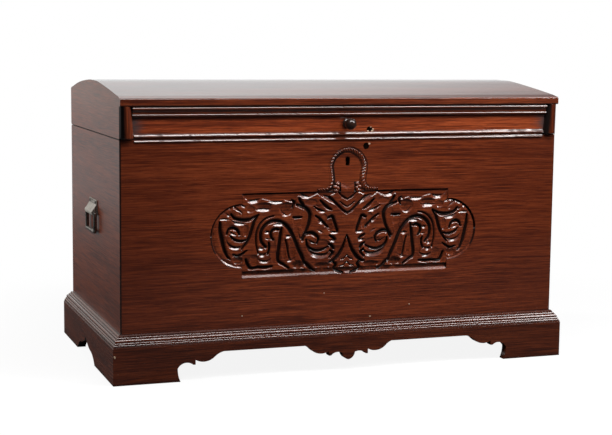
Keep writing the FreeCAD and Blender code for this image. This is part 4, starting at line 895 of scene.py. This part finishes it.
def dome_veneer(material):
    """Thin veneer over the lid's staves: one fair curve through their joints from the lip to the back."""
    low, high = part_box("lid_stave_1")
    staves = [[vertex.co / MM for vertex in nodes[name].data.vertices] for name in STAVES]
    joints = [min(stave, key=lambda place: place.y - place.z) for stave in staves[1:]]
    top = max(staves[2], key=lambda place: place.z)
    lip = max((place for place in staves[0] if place.y < low.y / MM + 5), key=lambda place: place.z)
    back = max((place for place in staves[-1] if place.y > -low.y / MM), key=lambda place: place.z)
    knots = [lip, *joints[:2], top, *joints[2:], back]
    build = bmesh.new()
    rings = []
    for y, z, _ in smooth_curve([(knot.y, knot.z, 0) for knot in knots])[::6]:
        proud = 0.2 + 1.3 * float(ease((y - lip.y) / 30))
        crest = z + proud
        corners = (low.x, crest), (high.x, crest), (high.x, crest - VENEER), (low.x, crest - VENEER)
        rings.append([build.verts.new((x, y * MM, height * MM)) for x, height in corners])
    skin_rings(build, rings)
    veneer = add_piece("dome_veneer", build, material, "mahogany", "lid")
    shade_smooth(veneer, 30)


def end_veneers(material):
    """Thin veneer on each end of the lid, over the ends of its staves, gable and rails."""
    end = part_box(STAVES[0])[1].x
    level, sunk = end - 0.1 * MM, end - 0.2 * MM
    for hand, side in zip(HANDS, (-1, 1)):
        gable = [f"lid_{hand}_gable", "lid_front_rail", "lid_back_rail"]
        for part, names, thick in (("dome", STAVES, 0.35), ("gable", gable, 0.3)):
            build = bmesh.new()
            for name in names:
                corners = [nodes[name].matrix_world @ vertex.co for vertex in nodes[name].data.vertices]
                for x, y, z in corners:
                    if x * side > level:
                        build.verts.new((side * sunk, y, z))
                        build.verts.new((side * (end + thick * MM), y, z))
            hull = bmesh.ops.convex_hull(build, input=build.verts)
            spare = {item for item in hull["geom_interior"] if isinstance(item, bmesh.types.BMVert)}
            bmesh.ops.delete(build, geom=list(spare), context="VERTS")
            add_piece(f"{hand}_{part}_veneer", build, material, "mahogany", "lid")


def turned_mark(name, x, y, z, profile, stretch, ragged, material, body):
    """A small ragged mark on a front face, turned from a profile of radius and rise in millimetres."""
    build = bmesh.new()
    dice = np.random.default_rng(len(name))
    sway = 1 + ragged * dice.uniform(-1, 1, MARK_SIDES)
    turns = np.linspace(0, math.tau, MARK_SIDES, endpoint=False)
    rings = []
    for radius, rise in profile:
        ring = []
        for turn, swing in zip(turns, sway):
            reach = radius * swing * MM
            across = x * MM + reach * stretch * math.cos(turn)
            up = z * MM + reach * math.sin(turn)
            ring.append(build.verts.new((across, y - rise * MM, up)))
        rings.append(ring)
    skin_rings(build, rings)
    add_piece(name, build, material, "ebonised_wood", body)


def flake(name, x, y, z, size, stretch, material, body):
    """A small chip in the varnish, whose size is its radius in millimetres."""
    profile = [(radius * size, rise) for radius, rise in FLAKE]
    turned_mark(name, x, y, z, profile, stretch, ragged=0.35, material=material, body=body)


def marks(dark, pale):
    """Traces of a lost hasp, and chips that the wear of the chest has left."""
    rail_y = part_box("lid_front_rail")[0].y
    turned_mark("hasp_plug", 45, FACE_Y, 536, PLUG, stretch=1.0, ragged=0.06, material=dark, body="chest")
    # The dark patch standing for the broken hole is painted shade.
    turned_mark("hasp_chip", 53, rail_y, 575.5, CHIP, stretch=1.35, ragged=0.25, material=dark, body="lid")
    # The pale flake beside the plug is partly a painted highlight.
    flake("plug_flake", 53.5, FACE_Y, 541.5, size=2, stretch=1.3, material=pale, body="chest")
    on_lid = (62, 576, 1.7), (60, 571.5, 2.4), (49, 571.3, 2), (56, 580.5, 1.2)
    for index, (x, z, size) in enumerate(on_lid):
        flake(f"lid_flake_{index}", x, rail_y, z, size, stretch=1.5, material=pale, body="lid")
    on_front = (164, 148.4, 1.5), (62, 124.2, 1.8), (-261, 142, 1.4), (-57, 186.5, 1.3)
    for index, (x, z, size) in enumerate(on_front):
        flake(f"front_flake_{index}", x, FACE_Y, z, size, stretch=1.2, material=pale, body="chest")
    plinth_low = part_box("plinth_front")[0]
    size = 3.6
    x = plinth_low.x / MM + size
    flake("corner_flake", x, plinth_low.y, 67, size, stretch=0.7, material=pale, body="chest")


# Stage, camera and light

EYE = Vector((-1.2283, -3.4497, 0.7893))
YAW, PITCH, ROLL = (math.radians(angle) for angle in (19.552, 7.130, 0.626))
LENS = 84.5
SENSOR = 36.0
WHITE = (1, 1, 1, 1)
ROOM = (0.14, 0.14, 0.14, 1)              # light from all round
MIRRORED_ROOM = (0.03, 0.03, 0.032, 1)    # what the varnish mirrors beside the screen
SCREEN_LEFT = (0.48, 0.455, 0.43, 1)
SCREEN_RIGHT = (0.94, 0.99, 1, 1)
FLOOR_SEEN = (0.95, 0.95, 0.95, 1)
FLOOR_BOUNCE = (0.06, 0.06, 0.06, 1)      # what the floor throws back at the chest


def camera():
    """The camera that took the photograph, as solved from the chest's edges."""
    data = bpy.data.cameras.new("camera")
    data.lens = LENS
    data.sensor_width = SENSOR
    data.sensor_fit = "HORIZONTAL"
    view = bpy.data.objects.new("camera", data)
    level = Matrix.Rotation(-YAW, 4, "Z") @ Matrix.Rotation(math.pi / 2 - PITCH, 4, "X")
    turn = level @ Matrix.Rotation(ROLL, 4, "Z")
    view.matrix_world = Matrix.Translation(EYE) @ turn
    bpy.context.scene.collection.objects.link(view)
    bpy.context.scene.camera = view


def area_light(name, place, aim, width, height, power):
    data = bpy.data.lights.new(name, "AREA")
    data.shape = "RECTANGLE"
    data.size = width
    data.size_y = height
    data.energy = power
    lamp = bpy.data.objects.new(name, data)
    lamp.location = place
    lamp.rotation_euler = (Vector(aim) - Vector(place)).to_track_quat("-Z", "Y").to_euler()
    bpy.context.scene.collection.objects.link(lamp)
    return lamp


def studio():
    """Soft lamps, and a dim world with a white background, of which the varnish mirrors a pale screen."""
    area_light("overhead", (0.3, -1.0, 1.72), (0.3, -0.3, 0.3), width=1.9, height=0.28, power=36)
    area_light("key", (1.9, -1.75, 1.95), (0, -0.3, 0.4), width=0.7, height=0.7, power=42)
    fill = area_light("left_fill", (-2.6, 1.6, 1.2), (-0.55, 0, 0.35), width=0.7, height=0.7, power=82)
    fill.visible_glossy = False
    world = bpy.data.worlds.new("studio")
    bpy.context.scene.world = world
    world.use_nodes = True
    build = Nodes(world.node_tree)
    right, back, up = build.parts(build.add("TexCoord"))
    climb = build.plus(build.times(up, 0.8), right)
    white = build.times(build.between(back, 0.3, 0.75), build.between(climb, 0.88, 0.5))
    screen = build.mix(build.between(right, -0.2, 0.1), SCREEN_LEFT, SCREEN_RIGHT)
    mirrored = build.mix(white, MIRRORED_ROOM, screen)
    rays = build.rays()
    seen = build.math("MAXIMUM", rays["Is Camera Ray"], rays["Is Transmission Ray"])
    colour = build.mix(rays["Is Glossy Ray"], ROOM, mirrored)
    colour = build.mix(seen, colour, WHITE)
    glow = build.add("Background", {"Color": colour, "Strength": 1.0})
    build.add("OutputWorld", {"Surface": glow})


def floor():
    """Pale floor that keeps the chest's shadow and fades to white. The varnish mirrors its far side."""
    bpy.ops.mesh.primitive_plane_add(size=24, location=(0, 0, 0))
    plane = bpy.context.object
    plane.name = "floor"
    material, build = new_material("pale_floor")
    rays = build.rays()
    seen = rays["Is Camera Ray"]
    spot = build.place()
    away = build.add("VectorMath", {0: spot}, 1, operation="LENGTH")
    behind = build.between(build.parts(spot)[1], -0.2, 0.8)
    tone = build.mix(seen, FLOOR_BOUNCE, FLOOR_SEEN)
    paper = build.add("BsdfDiffuse", {"Color": tone})
    white = build.add("Emission", {"Color": WHITE, "Strength": 1.0})
    plain = build.plus(build.times(build.between(away, 0.7, 1.6), 0.11), 0.89)
    far_behind = build.times(build.times(build.between(away, 1.4, 4.4), behind), 0.3)
    mirrored = build.times(far_behind, rays["Is Glossy Ray"])
    share = build.plus(build.times(seen, plain), mirrored)
    both = build.add("MixShader", {0: share, 1: paper, 2: white})
    build.add("OutputMaterial", {"Surface": both})
    plane.data.materials.append(material)


dress_solids()
carved = mahogany("carved_mahogany", "X", corner_dirt_and_shade=0.95, reach=0.012, ageing_and_shade=dirt_and_shade_in_cuts)
carving(carved)
keyhole_rim(carved)
rim_collar(carved)
# The beads' tint of 0.62 paints them darker than the boards: painted shade.
worn_beads(mahogany("mahogany_beads", "X", 0.62, corner_dirt_and_shade=1.0, reach=0.016, gloss=0.12, ageing_and_shade=worn_varnish))
dome_veneer(bpy.data.materials["lid_top"])
end_veneers(bpy.data.materials["mahogany_y"])
marks(dark_plug_and_hole_shade(), chipped_wood())
ease_edges()
camera()
studio()
floor()
bpy.context.scene.view_settings.view_transform = "Standard"
